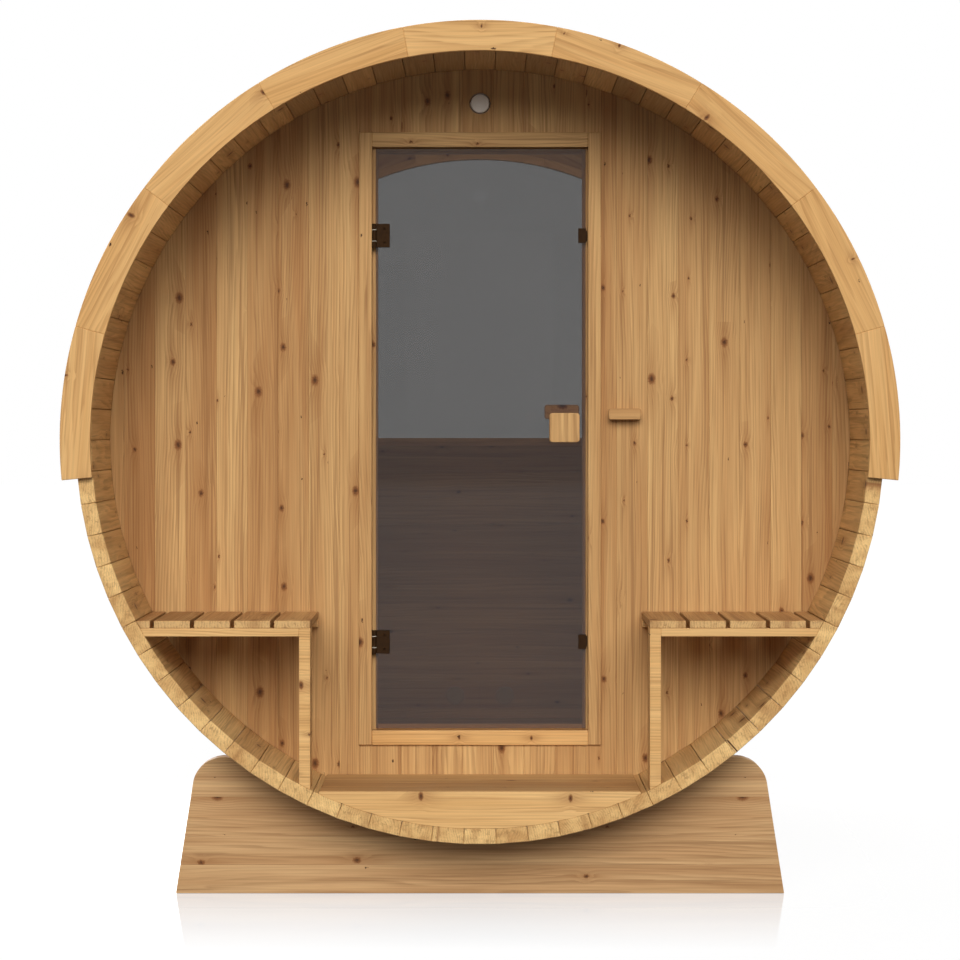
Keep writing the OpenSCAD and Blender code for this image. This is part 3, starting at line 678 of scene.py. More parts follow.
# %% Close the front wall over the door
VENT_HOLE_R = 29 * MM
vent_low, vent_high = box("front_vent")
front_vent_z = float(vent_low[2] + vent_high[2]) / 2 - CENTRE_Z
above = []
seams = seams_between(-FRAME_X, FRAME_X)
for a, b in zip(seams, seams[1:]):
    if a < 0 < b:
        top = [x for x in joint_x[::-1] if a < x < b]
        outline = [(a, FRAME_HIGH), (b, FRAME_HIGH), (b, half_chord(b)), *[(x, half_chord(x)) for x in top], (a, half_chord(a))]
        above.append(pierced(outline, (0.0, front_vent_z), VENT_HOLE_R, WALL_T, WALL_ORIGIN, X, Y, Z))
    else:
        above.append(timber(rectangle(a, b, WALL_T), FRAME_HIGH, barrel_top, WALL_ORIGIN, X, Y, Z, 1.3 * MM, steps=4))
piece("wall_boards_over_door", above, wall_spruce, "barrel", ["front_wall_over_door"])

# %% [markdown]
# ## Rear wall
# The rear wall has level boards, cut at both ends to the staves, up to the sill of the half-moon
# window. Two of the lowest boards hold the vents. Over the window only a narrow arch is left,
# which is built from curved segments like the fascias.

# %% Lay the rear wall
lower_low, lower_high = box("rear_wall_lower")
SILL_Z = float(lower_high[2]) - CENTRE_Z
rear_low, rear_high = box("rear_vents")
rear_vent_z = float(rear_low[2] + rear_high[2]) / 2 - CENTRE_Z
REAR_VENT_X = 81 * MM
REAR_PITCH = (SILL_Z - rear_vent_z) / 9.5
REAR_T = REAR_BACK - REAR_FRONT
REAR_ORIGIN = np.array([0.0, REAR_FRONT, CENTRE_Z])


def barrel_left(z, depth):
    """Where a level board meets the staves at the left."""
    return -half_chord(z)


def barrel_right(z, depth):
    """Where a level board meets the staves at the right."""
    return half_chord(z)


level = SILL_Z - REAR_PITCH * np.arange(12)
level = [*level[level > -half_chord(0.0) + 0.01].tolist(), -float(half_chord(0.0)) + 0.3 * MM]
rear = []
for top, bottom in zip(level, level[1:]):
    if bottom < rear_vent_z < top:
        heart, tone = pith(), random.uniform(0, 1)
        for side in (-1, 1):
            ends = sorted([0.0, side * half_chord(bottom), side * half_chord(top)], key=abs)
            outline = [(top, 0.0), (bottom, 0.0), (bottom, ends[1]), (top, ends[2])]
            rear.append(pierced(outline, (rear_vent_z, side * REAR_VENT_X), VENT_HOLE_R, REAR_T, REAR_ORIGIN, Z, Y, X, heart=heart, tone=tone))
    else:
        rear.append(timber(rectangle(bottom, top, REAR_T), barrel_left, barrel_right, REAR_ORIGIN, Z, Y, X, 1.5 * MM, steps=5))
piece("rear_wall_boards", rear, wall_spruce, "barrel", ["rear_wall_lower"])

# %% [markdown]
# ## Rear window
# The window is a half moon nearly as wide as the barrel. Its frame is an arched band and a level
# bar, with the pane in a groove in the middle of their depth. The band and the arch above it are
# each made of seven segments. The pane is one outline with eased edges.

# %% Helper for plates


def inset(outline, d):
    """The outline drawn in by d: each corner moves along the sum of its two edge normals, divided by 1 plus their dot product."""
    p = np.asarray(outline, float)
    area = (p[:, 0] * np.roll(p[:, 1], -1) - np.roll(p[:, 0], -1) * p[:, 1]).sum()
    edge = np.roll(p, -1, 0) - p
    n = np.column_stack([-edge[:, 1], edge[:, 0]]) * np.sign(area)
    n /= np.linalg.norm(n, axis=1, keepdims=True)
    before = np.roll(n, 1, 0)
    return p + d * (n + before) / (1 + (n * before).sum(1, keepdims=True))


def plate(outline, low, high, origin, across, along, deep, ease=0.8 * MM, caps="face", heart=None, tone=0.5):
    """A flat part: its outline (across, along) carried through its thickness from low to high, with rounded edges. The wood's grain runs along the second direction."""
    p = np.asarray(outline, float)
    levels = [(ease, low), (0.3 * ease, low + 0.3 * ease), (0.0, low + ease), (0.0, high - ease), (0.3 * ease, high - 0.3 * ease), (ease, high)]
    local = np.concatenate([np.column_stack([inset(p, d) if d else p, np.full(len(p), y)]) for d, y in levels])
    axes = np.array([across, along, deep], float)
    heart = pith() if heart is None else heart
    faces = rings_to_faces(len(levels), len(p), caps=caps)
    return Board(np.asarray(origin) + local @ axes, faces, local[:, [0, 2, 1]] + heart, np.full(len(local), tone))


# %% Build the rear window
WINDOW_R, FRAME_W, GROOVE = 910 * MM, 25 * MM, 10 * MM
glass_low, glass_high = box("rear_window_glass")
ARCHES = 7


def arch_parts(r_in, r_out, front, back, foot, ease):
    """Segments of an arch from one end of the window's sill to the other. foot is the height at which the arch starts."""
    start = math.pi / 2 + math.asin(foot / r_out)
    turn = (2 * math.pi - 2 * start) / ARCHES
    return [bent(r_in, r_out, front, back, start + i * turn, start + (i + 1) * turn, ease) for i in range(ARCHES)]


band = arch_parts(WINDOW_R, WINDOW_R + FRAME_W, REAR_FRONT, REAR_BACK, -FRAME_W, 1.5 * MM)
bar_end = float(np.sqrt(WINDOW_R**2 - FRAME_W**2))
bar = timber(rectangle(-FRAME_W, 0.0, REAR_T), -bar_end, bar_end, REAR_ORIGIN, Z, Y, X, 1.5 * MM)
piece("rear_window_surround", [*band, bar], pale_spruce, "barrel", ["rear_window_frame"])
arch = arch_parts(WINDOW_R + FRAME_W, INNER_R * math.cos(STAVE_ANGLE / 2), REAR_FRONT, REAR_BACK, -FRAME_W, 1.5 * MM)
piece("rear_wall_arch_segments", arch, wall_spruce, "barrel", ["rear_wall_arch"])

pane_r = float(glass_high[0])
pane_foot = float(glass_low[2]) - CENTRE_Z
t = np.linspace(math.asin(pane_foot / pane_r), math.pi - math.asin(pane_foot / pane_r), 97)
pane = np.column_stack([pane_r * np.cos(t), pane_r * np.sin(t)])
window = plate(pane, float(glass_low[1]), float(glass_high[1]), AXIS, X, Z, Y)
piece("rear_window_pane", [window], window_tint, "barrel", ["rear_window_glass"])

# %% [markdown]
# ## Door frame
# The frame has two uprights over the full height, with the head and the sill between them. A
# narrow stop behind the leaf runs all round. It is thinner than the frame and hides the leaf's
# edges from inside.

# %% Build the door frame
sill_low, sill_high = box("door_sill")
head_low, head_high = box("door_head")
REVEAL_X = float(sill_high[0])
DOOR_LOW = float(sill_low[2]) - CENTRE_Z + 40 * MM
DOOR_HIGH = float(head_high[2]) - CENTRE_Z - 40 * MM
FRAME_FACE = float(jamb_low[1])
STOP_FACE, STOP_W = float(box("door_magnets")[1][1]), 16 * MM
FRAME_T = WALL_BACK - FRAME_FACE
FRAME_ORIGIN = np.array([0.0, FRAME_FACE, CENTRE_Z])
STOP_ORIGIN = np.array([0.0, STOP_FACE, CENTRE_Z])
STOP_T = WALL_BACK - STOP_FACE
for side, name in ((-1, "left"), (1, "right")):
    a, b = sorted([side * REVEAL_X, side * FRAME_X])
    c, d = sorted([side * REVEAL_X, side * (REVEAL_X - STOP_W)])
    upright = timber(rectangle(a, b, FRAME_T), FRAME_LOW, FRAME_HIGH, FRAME_ORIGIN, X, Y, Z, 2 * MM)
    stop = timber(rectangle(c, d, STOP_T), DOOR_LOW, DOOR_HIGH, STOP_ORIGIN, X, Y, Z, 1.5 * MM)
    piece(f"door_upright_{name}", [upright, stop], wall_spruce, "barrel", [f"door_jamb_{name}"])
for name, z0, z1, s0, s1 in (
    ("head", DOOR_HIGH, FRAME_HIGH, DOOR_HIGH - STOP_W, DOOR_HIGH),
    ("sill", FRAME_LOW, DOOR_LOW, DOOR_LOW, DOOR_LOW + STOP_W),
):
    cross = timber(rectangle(z0, z1, FRAME_T), -REVEAL_X, REVEAL_X, FRAME_ORIGIN, Z, Y, X, 2 * MM)
    stop = timber(rectangle(s0, s1, STOP_T), STOP_W - REVEAL_X, REVEAL_X - STOP_W, STOP_ORIGIN, Z, Y, X, 1.5 * MM)
    piece(f"door_{name}_piece", [cross, stop], pale_spruce if name == "sill" else wall_spruce, "barrel", [f"door_{name}"])

# %% [markdown]
# ## Door leaf
# The leaf is one pane of toughened glass with two notches for the hinges, so it is a single
# outline carried through 8 mm. Its handles are blocks of wood on both faces, held together by
# bolts through the glass.

# %% Helper for round outlines, and the leaf


def rounded(x0, z0, x1, z1, r, steps=6):
    """A rectangle with its corners rounded by quarter circles."""
    quarter = np.linspace(0, math.pi / 2, steps + 1)
    corners = [(x1 - r, z1 - r, 0), (x0 + r, z1 - r, 1), (x0 + r, z0 + r, 2), (x1 - r, z0 + r, 3)]
    return np.concatenate([
        np.column_stack([x + r * np.cos(quarter + k * math.pi / 2), z + r * np.sin(quarter + k * math.pi / 2)])
        for x, z, k in corners
    ])


leaf_low, leaf_high = box("door_glass")
clamp_low, clamp_high = box("hinge_clamps")
bracket_low, bracket_high = box("hinge_brackets")
HINGE_H = 64 * MM
HINGE_Z = [float(bracket_low[2]) - CENTRE_Z + HINGE_H / 2, float(bracket_high[2]) - CENTRE_Z - HINGE_H / 2]
NOTCH_W, NOTCH_H = 14 * MM, 40 * MM
GLASS_FRONT, GLASS_BACK = float(leaf_low[1]), float(leaf_high[1])
x0, x1 = float(leaf_low[0]), float(leaf_high[0])
z0, z1 = float(leaf_low[2]) - CENTRE_Z, float(leaf_high[2]) - CENTRE_Z
outline = [(x0, z0), (x1, z0), (x1, z1), (x0, z1)]
for z in HINGE_Z[::-1]:
    top, bottom = z + NOTCH_H / 2, z - NOTCH_H / 2
    outline += [(x0, top), (x0 + NOTCH_W, top), (x0 + NOTCH_W, bottom), (x0, bottom)]
leaf = plate(outline, GLASS_FRONT, GLASS_BACK, AXIS, X, Z, Y, 0.8 * MM)
piece("door_leaf", [leaf], door_tint, "door", ["door_glass"])

for name in ("outer_handle", "inner_handle"):
    low, high = box(name)
    shape = rounded(low[0], low[2] - CENTRE_Z, high[0], high[2] - CENTRE_Z, 8 * MM)
    along, across = (X, Z) if name == "inner_handle" else (Z, X)
    if name == "inner_handle":
        shape = shape[:, ::-1]
    block = plate(shape, float(low[1]), float(high[1]), AXIS, across, along, Y, 2.5 * MM, tone=-0.2)
    piece(f"{name}_block", [block], wall_spruce, "door", [name])

# %% [markdown]
# ## Turned parts
# Knuckles, pins, washers, screw heads, bolts and vent discs are all turned: a half section (how
# far along the axis, how far from it) is carried round the axis.

# %% Helper for turned parts


def turned(section, origin, axis, sides=24):
    """A closed half section (along, radius) turned about an axis through origin: point = origin + along times axis + radius times (cosine a + sine b), with a and b square to the axis. A radius of nought at both ends closes it."""
    s = np.asarray(section, float)
    axis = np.asarray(axis, float)
    a = np.cross(axis, [0.31, 0.57, 0.76])
    a /= np.linalg.norm(a)
    b = np.cross(axis, a)
    angles = np.linspace(0, 2 * math.pi, sides, endpoint=False)
    spoke = np.cos(angles)[:, None] * a + np.sin(angles)[:, None] * b
    points = np.asarray(origin) + s[:, 0, None, None] * axis + s[:, 1, None, None] * spoke
    points = points.reshape(-1, 3)
    faces = rings_to_faces(len(s), sides, caps="face")
    return Board(points, faces, points.copy(), np.full(len(points), 0.5))


def rod(low, high, r, ease=0.5 * MM, hole=0.0):
    """The half section of a rod, or of a washer when it has a hole, with eased rims."""
    inner = hole if hole else 1e-5
    return [(low, inner), (low, r - ease), (low + ease, r), (high - ease, r), (high, r - ease), (high, inner)]


def screw_head(r, rise=0.9 * MM, socket=0.42):
    """The half section of a low round head with a dished socket, seated 1 mm deep."""
    return [(-1.0 * MM, 1e-5), (-1.0 * MM, r * 0.9), (0.0, r), (rise * 0.7, r * 0.82), (rise, r * 0.6), (rise, r * socket), (0.0, r * socket * 0.9), (0.0, 1e-5)]


print("turned sections ready")

# %% [markdown]
# ## Hinges, strike clips and magnets
# A hinge has a leaf on the frame with two knuckles and the pin, and a clamp on the glass with the
# middle knuckle. The clamp's two plates grip the glass and are drawn together by two screws. White
# washers keep the knuckles apart. At the free edge two clips are folded over the glass, where
# magnets on the stop draw them in.

# %% Build the hinges
AXIS_X, AXIS_Y = -288.4 * MM, GLASS_FRONT - 6.5 * MM
KNUCKLE_R, MIDDLE, WASHER = 6 * MM, 28.5 * MM, 1.3 * MM
CLAMP_X0, CLAMP_X1, CLAMP_T = -282 * MM, float(clamp_high[0]), 5 * MM
clamps, brackets, washers = [], [], []
for z in HINGE_Z:
    pin = np.array([AXIS_X, AXIS_Y, CENTRE_Z + z])
    clamps.append(turned(rod(-MIDDLE / 2, MIDDLE / 2, KNUCKLE_R), pin, Z, 32))
    web = [(AXIS_X + 3 * MM, z - MIDDLE / 2 + 0.5 * MM), (CLAMP_X0 + 4 * MM, z - MIDDLE / 2 + 0.5 * MM), (CLAMP_X0 + 4 * MM, z + MIDDLE / 2 - 0.5 * MM), (AXIS_X + 3 * MM, z + MIDDLE / 2 - 0.5 * MM)]
    clamps.append(plate(web, GLASS_FRONT - CLAMP_T + 0.2 * MM, GLASS_FRONT - 0.2 * MM, AXIS, X, Z, Y, 0.4 * MM))
    face = rounded(CLAMP_X0, z - HINGE_H / 2, CLAMP_X1, z + HINGE_H / 2, 2 * MM, 3)
    clamps.append(plate(face, GLASS_FRONT - CLAMP_T, GLASS_FRONT, AXIS, X, Z, Y, 0.7 * MM))
    clamps.append(plate(face, GLASS_BACK, GLASS_BACK + CLAMP_T, AXIS, X, Z, Y, 0.7 * MM))
    for s in (-1, 1):
        for y, way in ((GLASS_FRONT - CLAMP_T, -Y), (GLASS_BACK + CLAMP_T, Y)):
            clamps.append(turned(screw_head(4.5 * MM), [(CLAMP_X0 + CLAMP_X1) / 2 + 4 * MM, y, CENTRE_Z + z + s * 19 * MM], way, 20))
        washer_z = s * (MIDDLE / 2 + 0.5 * MM + WASHER / 2)
        washers.append(turned(rod(washer_z - WASHER / 2, washer_z + WASHER / 2, KNUCKLE_R + 0.4 * MM, 0.2 * MM, 3.1 * MM), pin, Z, 32))
        near = MIDDLE / 2 + 0.5 * MM + WASHER
        lo, hi = sorted([s * near, s * HINGE_H / 2])
        brackets.append(turned(rod(lo, hi, KNUCKLE_R), pin, Z, 32))
        wing = [(-REVEAL_X, lo + z + 0.4 * MM), (AXIS_X - 2 * MM, lo + z + 0.4 * MM), (AXIS_X - 2 * MM, hi + z - 0.4 * MM), (-REVEAL_X, hi + z - 0.4 * MM)]
        brackets.append(plate(wing, AXIS_Y + 1 * MM, AXIS_Y + 8 * MM, AXIS, X, Z, Y, 0.4 * MM))
    brackets.append(turned(rod(-HINGE_H / 2, HINGE_H / 2, 3 * MM), pin, Z, 20))
    flap = rounded(AXIS_Y + 7 * MM, z - HINGE_H / 2, STOP_FACE, z + HINGE_H / 2, 1.5 * MM, 3)
    brackets.append(plate(flap, -REVEAL_X, -REVEAL_X + 2.5 * MM, AXIS, Y, Z, X, 0.5 * MM))
piece("hinge_clamp_plates", clamps, bronze, "door", ["hinge_clamps"])
piece("hinge_frame_leaves", brackets, bronze, "barrel", ["hinge_brackets"])
piece("hinge_nylon_washers", washers, nylon, "barrel", ["hinge_washers"])

# %% Build the clips, the magnets and the handle bolts
strike_low, strike_high = box("strike_plates")
clips = []
for z in HINGE_Z:
    a, b = float(strike_low[0]), float(strike_high[0])
    f, k, edge = float(strike_low[1]), float(strike_high[1]), x1
    fold = [(a, f), (b, f), (b, k), (a, k), (a, GLASS_BACK), (edge, GLASS_BACK), (edge, GLASS_FRONT), (a, GLASS_FRONT)]
    clips.append(plate(fold, z - 20 * MM, z + 20 * MM, AXIS, X, Y, Z, 0.35 * MM))
piece("strike_clips", clips, bronze, "door", ["strike_plates"])

magnet_low, magnet_high = box("door_magnets")
magnets = []
for z in HINGE_Z:
    shape = rounded(float(magnet_low[0]), z - 15 * MM, float(magnet_high[0]), z + 15 * MM, 2 * MM, 3)
    magnets.append(plate(shape, float(magnet_low[1]), float(magnet_high[1]), AXIS, X, Z, Y, 0.4 * MM))
    for s in (-1, 1):
        at = [float(magnet_low[0] + magnet_high[0]) / 2, float(magnet_low[1]), CENTRE_Z + z + s * 10 * MM]
        magnets.append(turned(screw_head(2.4 * MM, 0.4 * MM), at, -Y, 16))
piece("stop_magnets", magnets, bronze, "barrel", ["door_magnets"])

inner_low, inner_high = box("inner_handle")
outer_low, outer_high = box("outer_handle")
bolt_z = (float(inner_low[2]) + float(outer_high[2])) / 2
bolts = [turned(screw_head(5 * MM, 0.6 * MM), [x, float(inner_high[1]), bolt_z], Y, 20) for x in (205 * MM, 250 * MM)]
piece("handle_bolts", bolts, bronze, "door", [])

# %% [markdown]
# ## Floors and benches
# Floor boards lie across the barrel and are cut to the staves at both ends. Bench slats run from
# the front to the wall with a finger's gap between them, on one rail at the front and one on the
# wall, with a post under the inner end of the front rail. The posts are cut from a wide panel whose
# grain runs level, so their grain coordinates are swapped.

# %% Lay the floors
porch_low, porch_high = box("porch_floor")
FLOOR_TOP = float(porch_high[2]) - CENTRE_Z
FLOOR_T = float(porch_high[2] - porch_low[2])
FLOOR_HALF = float(porch_high[0])


def floor_boards(name, count):
    """Boards across the barrel, side by side from the front of a floor to its back. Each end is the smaller of the floor's half width and the staves' inside at that height."""
    low, high = box(name)
    pitch = (high[1] - low[1]) / count
    origin = np.array([0.0, 0.0, CENTRE_Z + FLOOR_TOP])

    def right_end(y, depth):
        return np.minimum(FLOOR_HALF, half_chord(FLOOR_TOP - depth) - 0.5 * MM)

    def left_end(y, depth):
        return -right_end(y, depth)

    return [
        timber(rectangle(low[1] + i * pitch + 0.4 * MM, low[1] + (i + 1) * pitch - 0.4 * MM, FLOOR_T), left_end, right_end, origin, Y, -Z, X, 2.0 * MM)
        for i in range(count)
    ]


piece("porch_floor_boards", floor_boards("porch_floor", 4), wall_spruce, "barrel", ["porch_floor"])
piece("cabin_floor_boards", floor_boards("cabin_floor", 16), wall_spruce, "barrel", ["cabin_floor"])

apron_low, apron_high = box("floor_apron")
APRON_T = float(apron_high[1] - apron_low[1])
apron_bottom = -float(half_chord(0.0)) + 0.3 * MM


def apron_right(z, depth):
    """Right end of the apron at a height."""
    return np.minimum(FLOOR_HALF, half_chord(z))


def apron_left(z, depth):
    """Left end of the apron at a height."""
    return -apron_right(z, depth)


apron = timber(rectangle(apron_bottom, FLOOR_TOP, APRON_T), apron_left, apron_right, [0, float(apron_low[1]), CENTRE_Z], Z, Y, X, 1.5 * MM, steps=24)
piece("porch_apron", [apron], pale_spruce, "barrel", ["floor_apron"])

# %% Build the benches
slat_low, slat_high = box("right_bench_slats")
SEAT_TOP = float(slat_high[2]) - CENTRE_Z
SLAT_T = float(slat_high[2] - slat_low[2])
BENCH_EDGE = float(slat_low[0])
SLAT_W, SLAT_GAP, SLATS = 94 * MM, 10 * MM, 5
SLAT_FRONT, SLAT_BACK = float(slat_low[1]), float(slat_high[1])
seat_origin = np.array([0.0, 0.0, CENTRE_Z + SEAT_TOP])
for side, name in ((-1, "left"), (1, "right")):
    slats = []
    for i in range(SLATS):
        a = BENCH_EDGE + i * (SLAT_W + SLAT_GAP)
        b = a + SLAT_W
        corners = rectangle(a, b, SLAT_T)
        if i == SLATS - 1:
            corners = [(a, 0), (float(half_chord(SEAT_TOP)) - 0.4 * MM, 0), (float(half_chord(SEAT_TOP - SLAT_T)) - 0.4 * MM, SLAT_T), (a, SLAT_T)]
        heart = np.array([random.uniform(0.1, 0.25), 0.02, random.uniform(0, 60)])
        # Painted light and shade: each slat gets tone 0.8 to 1.4, darker, a painted shade for its shaded top, and its
        # front end cap is set to -1 below, paler, a painted light for its lit end.
        slat = timber(corners, SLAT_FRONT, SLAT_BACK, seat_origin, side * X, -Z, Y, 2.0 * MM, heart=heart, tone=random.uniform(0.8, 1.4))
        slat.tone[: len(slat.tone) // 4] = -1.0
        slats.append(slat)
    piece(f"{name}_bench_boards", slats, wall_spruce, "barrel", [f"{name}_bench_slats"])

rail_low, rail_high = box("bench_rails")
post_low, post_high = box("bench_posts")
RAIL_H = float(rail_high[2] - rail_low[2])
RAIL_TOP = float(rail_high[2]) - CENTRE_Z
POST_X = 470 * MM
rails, posts = [], []
for side in (-1, 1):
    for y, start in ((SLAT_FRONT, POST_X), (SLAT_BACK - 28 * MM, BENCH_EDGE)):

        def rail_end(z, depth):
            return half_chord(z)

        rails.append(timber(rectangle(RAIL_TOP - RAIL_H, RAIL_TOP, 28 * MM), start, rail_end, [0, y, CENTRE_Z], Z, Y, side * X, 1.5 * MM))

    def post_foot(x, depth):
        return -half_chord(x)

    depth = float(post_high[1] - post_low[1])
    corners = rectangle(BENCH_EDGE, POST_X, depth)
    heart = pith()
    post = timber(corners, post_foot, RAIL_TOP, [0, float(post_low[1]), CENTRE_Z], side * X, Y, Z, 1.5 * MM, steps=2, heart=heart, tone=0.1)
    post.grain = (post.grain - heart)[:, [2, 1, 0]] + heart
    posts.append(post)
piece("bench_rail_bars", rails, pale_spruce, "barrel", ["bench_rails"])
piece("bench_post_boards", posts, pale_spruce, "barrel", ["bench_posts"])

block_low, block_high = box("wall_block")
shape = rounded(block_low[2] - CENTRE_Z, block_low[0], block_high[2] - CENTRE_Z, block_high[0], 7 * MM)
block = plate(shape, float(block_low[1]), float(block_high[1]), AXIS, Z, X, Y, 2.0 * MM, tone=0.9)
piece("wall_block_piece", [block], wall_spruce, "barrel", ["wall_block"])

# %% [markdown]
# ## Cradles
# The barrel rests in two cradles of planks glued edge to edge. The lower planks run right across.
# The upper ones are cut away in the middle to the round of the staves. A level plank's ends are
# functions of height: outside the leaning side with its rounded shoulder, inside the staves.

# %% Build the cradles
CRADLE_W, CRADLE_H, LEAN, SHOULDER = 1610 * MM, 360 * MM, math.radians(8.8), 80 * MM
lean_r = SHOULDER / math.cos(LEAN)
corner_z = CRADLE_H - SHOULDER
corner_x = CRADLE_W / 2 - corner_z * math.tan(LEAN) - lean_r
outer_z = OUTER_R * np.cos((np.arange(40) + 0.5) * STAVE_ANGLE)[::-1]
outer_x = OUTER_R * np.sin((np.arange(40) + 0.5) * STAVE_ANGLE)[::-1]


def cradle_side(z, depth):
    """Half width of a cradle at a height above the ground: the leaning side, then the shoulder's circle."""
    z = np.asarray(z)
    lean = CRADLE_W / 2 - z * math.tan(LEAN)
    circle = corner_x + np.sqrt(np.maximum(SHOULDER**2 - (z - corner_z) ** 2, 0))
    return np.where(z > corner_z + SHOULDER * math.sin(LEAN), circle, lean)


def cradle_hollow(z, depth):
    """Half width of the hollow for the staves at a height above the ground."""
    return np.interp(CENTRE_Z - np.asarray(z), outer_z, outer_x)


LOWEST = CENTRE_Z - OUTER_R * math.cos(STAVE_ANGLE / 2)
seams = [0.0, LOWEST / 2, LOWEST, LOWEST + (CRADLE_H - LOWEST) / 2, CRADLE_H]
for name in ("front", "rear"):
    low, high = box(f"{name}_cradle")
    thick, origin = float(high[1] - low[1]), [0, float(low[1]), 0]
    planks = []
    for bottom, top in zip(seams, seams[1:]):
        corners = rectangle(bottom, top, thick)
        if top <= LOWEST + 1e-9:
            planks.append(timber(corners, lambda z, d: -cradle_side(z, d), cradle_side, origin, Z, Y, X, 1.2 * MM, steps=6))
        else:
            heart, tone = pith(), random.uniform(0, 1)
            for side in (-1, 1):
                planks.append(timber(corners, cradle_hollow, cradle_side, origin, Z, Y, side * X, 1.2 * MM, steps=14, heart=heart, tone=tone))
    piece(f"{name}_cradle_planks", planks, beam_spruce, "barrel", [f"{name}_cradle"])

# %% [markdown]
# ## Steel bands
# Three flat bands hold the staves together. Each follows the outside of the barrel, flat on every
# stave and bent at every joint, and is drawn tight at both sides by a bolt through two folded ears.

# %% Build the steel bands
BAND_W, BAND_T, EAR_H = 30 * MM, 1.2 * MM, 24 * MM
band_low, band_high = box("steel_bands")
band_y = [float(band_low[1]), float(WALL_FRONT + REAR_BACK) / 2, float(band_high[1]) - BAND_W]
corner_angles = (np.arange(STAVES) + 0.5) * STAVE_ANGLE
parts = []
for y in band_y:
    ring = eased([(OUTER_R, y), (OUTER_R + BAND_T, y), (OUTER_R + BAND_T, y + BAND_W), (OUTER_R, y + BAND_W)], 0.4 * MM)
    rows = [AXIS + ring[:, :1] * outward(a)[0] + ring[:, 1:] * Y for a in corner_angles]
    points = np.concatenate(rows)
    parts.append(Board(points, rings_to_faces(len(rows), len(ring), closed=True), points.copy(), np.full(len(points), 0.5)))
    for side in (-1, 1):
        angle = side * math.radians(60)
        out, along = outward(angle)
        middle = AXIS + out * (OUTER_R + BAND_T) + Y * (y + BAND_W / 2)
        for s in (-1, 1):
            ear = rounded(-BAND_W / 2, -1.5 * MM, BAND_W / 2, EAR_H, 5 * MM, 4)
            parts.append(plate(ear, s * 16 * MM - 1.5 * MM, s * 16 * MM + 1.5 * MM, middle, Y, out, along, 0.5 * MM))
            hexagon = np.column_stack([6.5 * MM * np.cos(np.arange(6) * math.pi / 3), 6.5 * MM * np.sin(np.arange(6) * math.pi / 3)])
            far = s * 17.5 * MM
            lo, hi = sorted([far, far + s * 5 * MM])
            parts.append(plate(hexagon, lo, hi, middle + out * 14 * MM, Y, out, along, 0.6 * MM))
        parts.append(turned(rod(-28 * MM, 28 * MM, 4 * MM), middle + out * 14 * MM, along, 16))
piece("tension_bands", parts, zinc, "barrel", ["steel_bands"])

# %% Drive the roof screws
screws = []
for i in range(4):
    for angle in roof_angles:
        out, side = outward(float(angle))
        for s in (-1, 1):
            at = AXIS + out * ROOF_OUT * math.cos(BOARD_ANGLE / 2) + side * s * 30 * MM + Y * (FRONT + i * rib_pitch + 22.5 * MM)
            screws.append(turned([(-1 * MM, 1e-5), (-1 * MM, 4 * MM), (0.2 * MM, 4 * MM), (0.5 * MM, 3 * MM), (0.5 * MM, 1.5 * MM), (0.0, 1e-5)], at, out, 10))
piece("roof_screws", screws, zinc, "barrel", [])

# %% [markdown]
# ## Vents
# A vent is a disc on a stem that stands in a round hole. Turning the disc moves it in and out of
# the hole, which opens or shuts a ring-shaped gap. A bar with a screw holds it on the other face.

# %% Build the vents


def vent(x, z, disc, far_face, r):
    """One vent. disc is where its face is, far_face the wall's other side and r the disc's radius."""
    way = 1.0 if far_face > disc else -1.0
    start = np.array([x, disc, CENTRE_Z + z])
    section = [(0.6 * MM, 1e-5), (0.6 * MM, r * 0.72), (0.0, r * 0.8), (0.0, r - 2.5 * MM), (0.8 * MM, r - 0.8 * MM), (2.5 * MM, r), (13 * MM, r), (14 * MM, r - 1 * MM), (14 * MM, 1e-5)]
    length = abs(far_face - disc)
    made = [turned(section, start, way * Y, 48), turned(rod(13 * MM, length + 1 * MM, 6 * MM), start, way * Y, 20)]
    bar = rounded(x - 37 * MM, z - 8 * MM, x + 37 * MM, z + 8 * MM, 6 * MM, 4)
    lo, hi = sorted([far_face, far_face + way * 8 * MM])
    made.append(plate(bar, lo, hi, AXIS, X, Z, Y, 1.0 * MM))
    return made


piece("front_vent_disc", vent(0.0, front_vent_z, float(vent_low[1]), WALL_BACK, 25 * MM), vent_cream, "barrel", ["front_vent"])
discs = [part for x in (-REAR_VENT_X, REAR_VENT_X) for part in vent(x, rear_vent_z, float(rear_low[1]), REAR_BACK, 28.4 * MM)]
piece("rear_vent_discs", discs, vent_sand, "barrel", ["rear_vents"])

# %% [markdown]
# ## Studio
# The sauna stands on a white floor in an even white room. The floor is polished next to the
# cradles and fades to matt a metre away from them, so the mirror image fades as well. A broad soft
# light comes from the front and a little from above, so the porch darkens towards its ceiling, where
# the top staves also carry a painted shade. Weak lights at the back and at both sides show the other faces.

# %% Build the studio


def sun(name, energy, spread, toward, mirrored=True):
    """A sun that shines in the direction toward, with its disc spread over that many degrees. Gloss shows it only if it is mirrored."""
    lamp = bpy.data.objects.new(name, bpy.data.lights.new(name, "SUN"))
    bpy.context.scene.collection.objects.link(lamp)
    lamp.data.energy, lamp.data.angle = energy, math.radians(spread)
    direction = np.array(toward, float) / np.linalg.norm(toward)
    lamp.rotation_mode = "QUATERNION"
    lamp.rotation_quaternion = Vector(direction.tolist()).to_track_quat("-Z", "Y")
    lamp.location = (-direction * 10).tolist()
    lamp.visible_glossy = mirrored
    return lamp


sun("front light, left", 1.65, 38, (0.18, 1.0, -0.53), mirrored=False)
sun("front light, right", 1.65, 38, (-0.18, 1.0, -0.53), mirrored=False)
sun("back light", 1.6, 50, (0.3, -1.0, -0.5))
sun("left light", 1.2, 40, (1.0, -0.25, -0.6))
sun("right light", 1.2, 40, (-1.0, -0.25, -0.6))

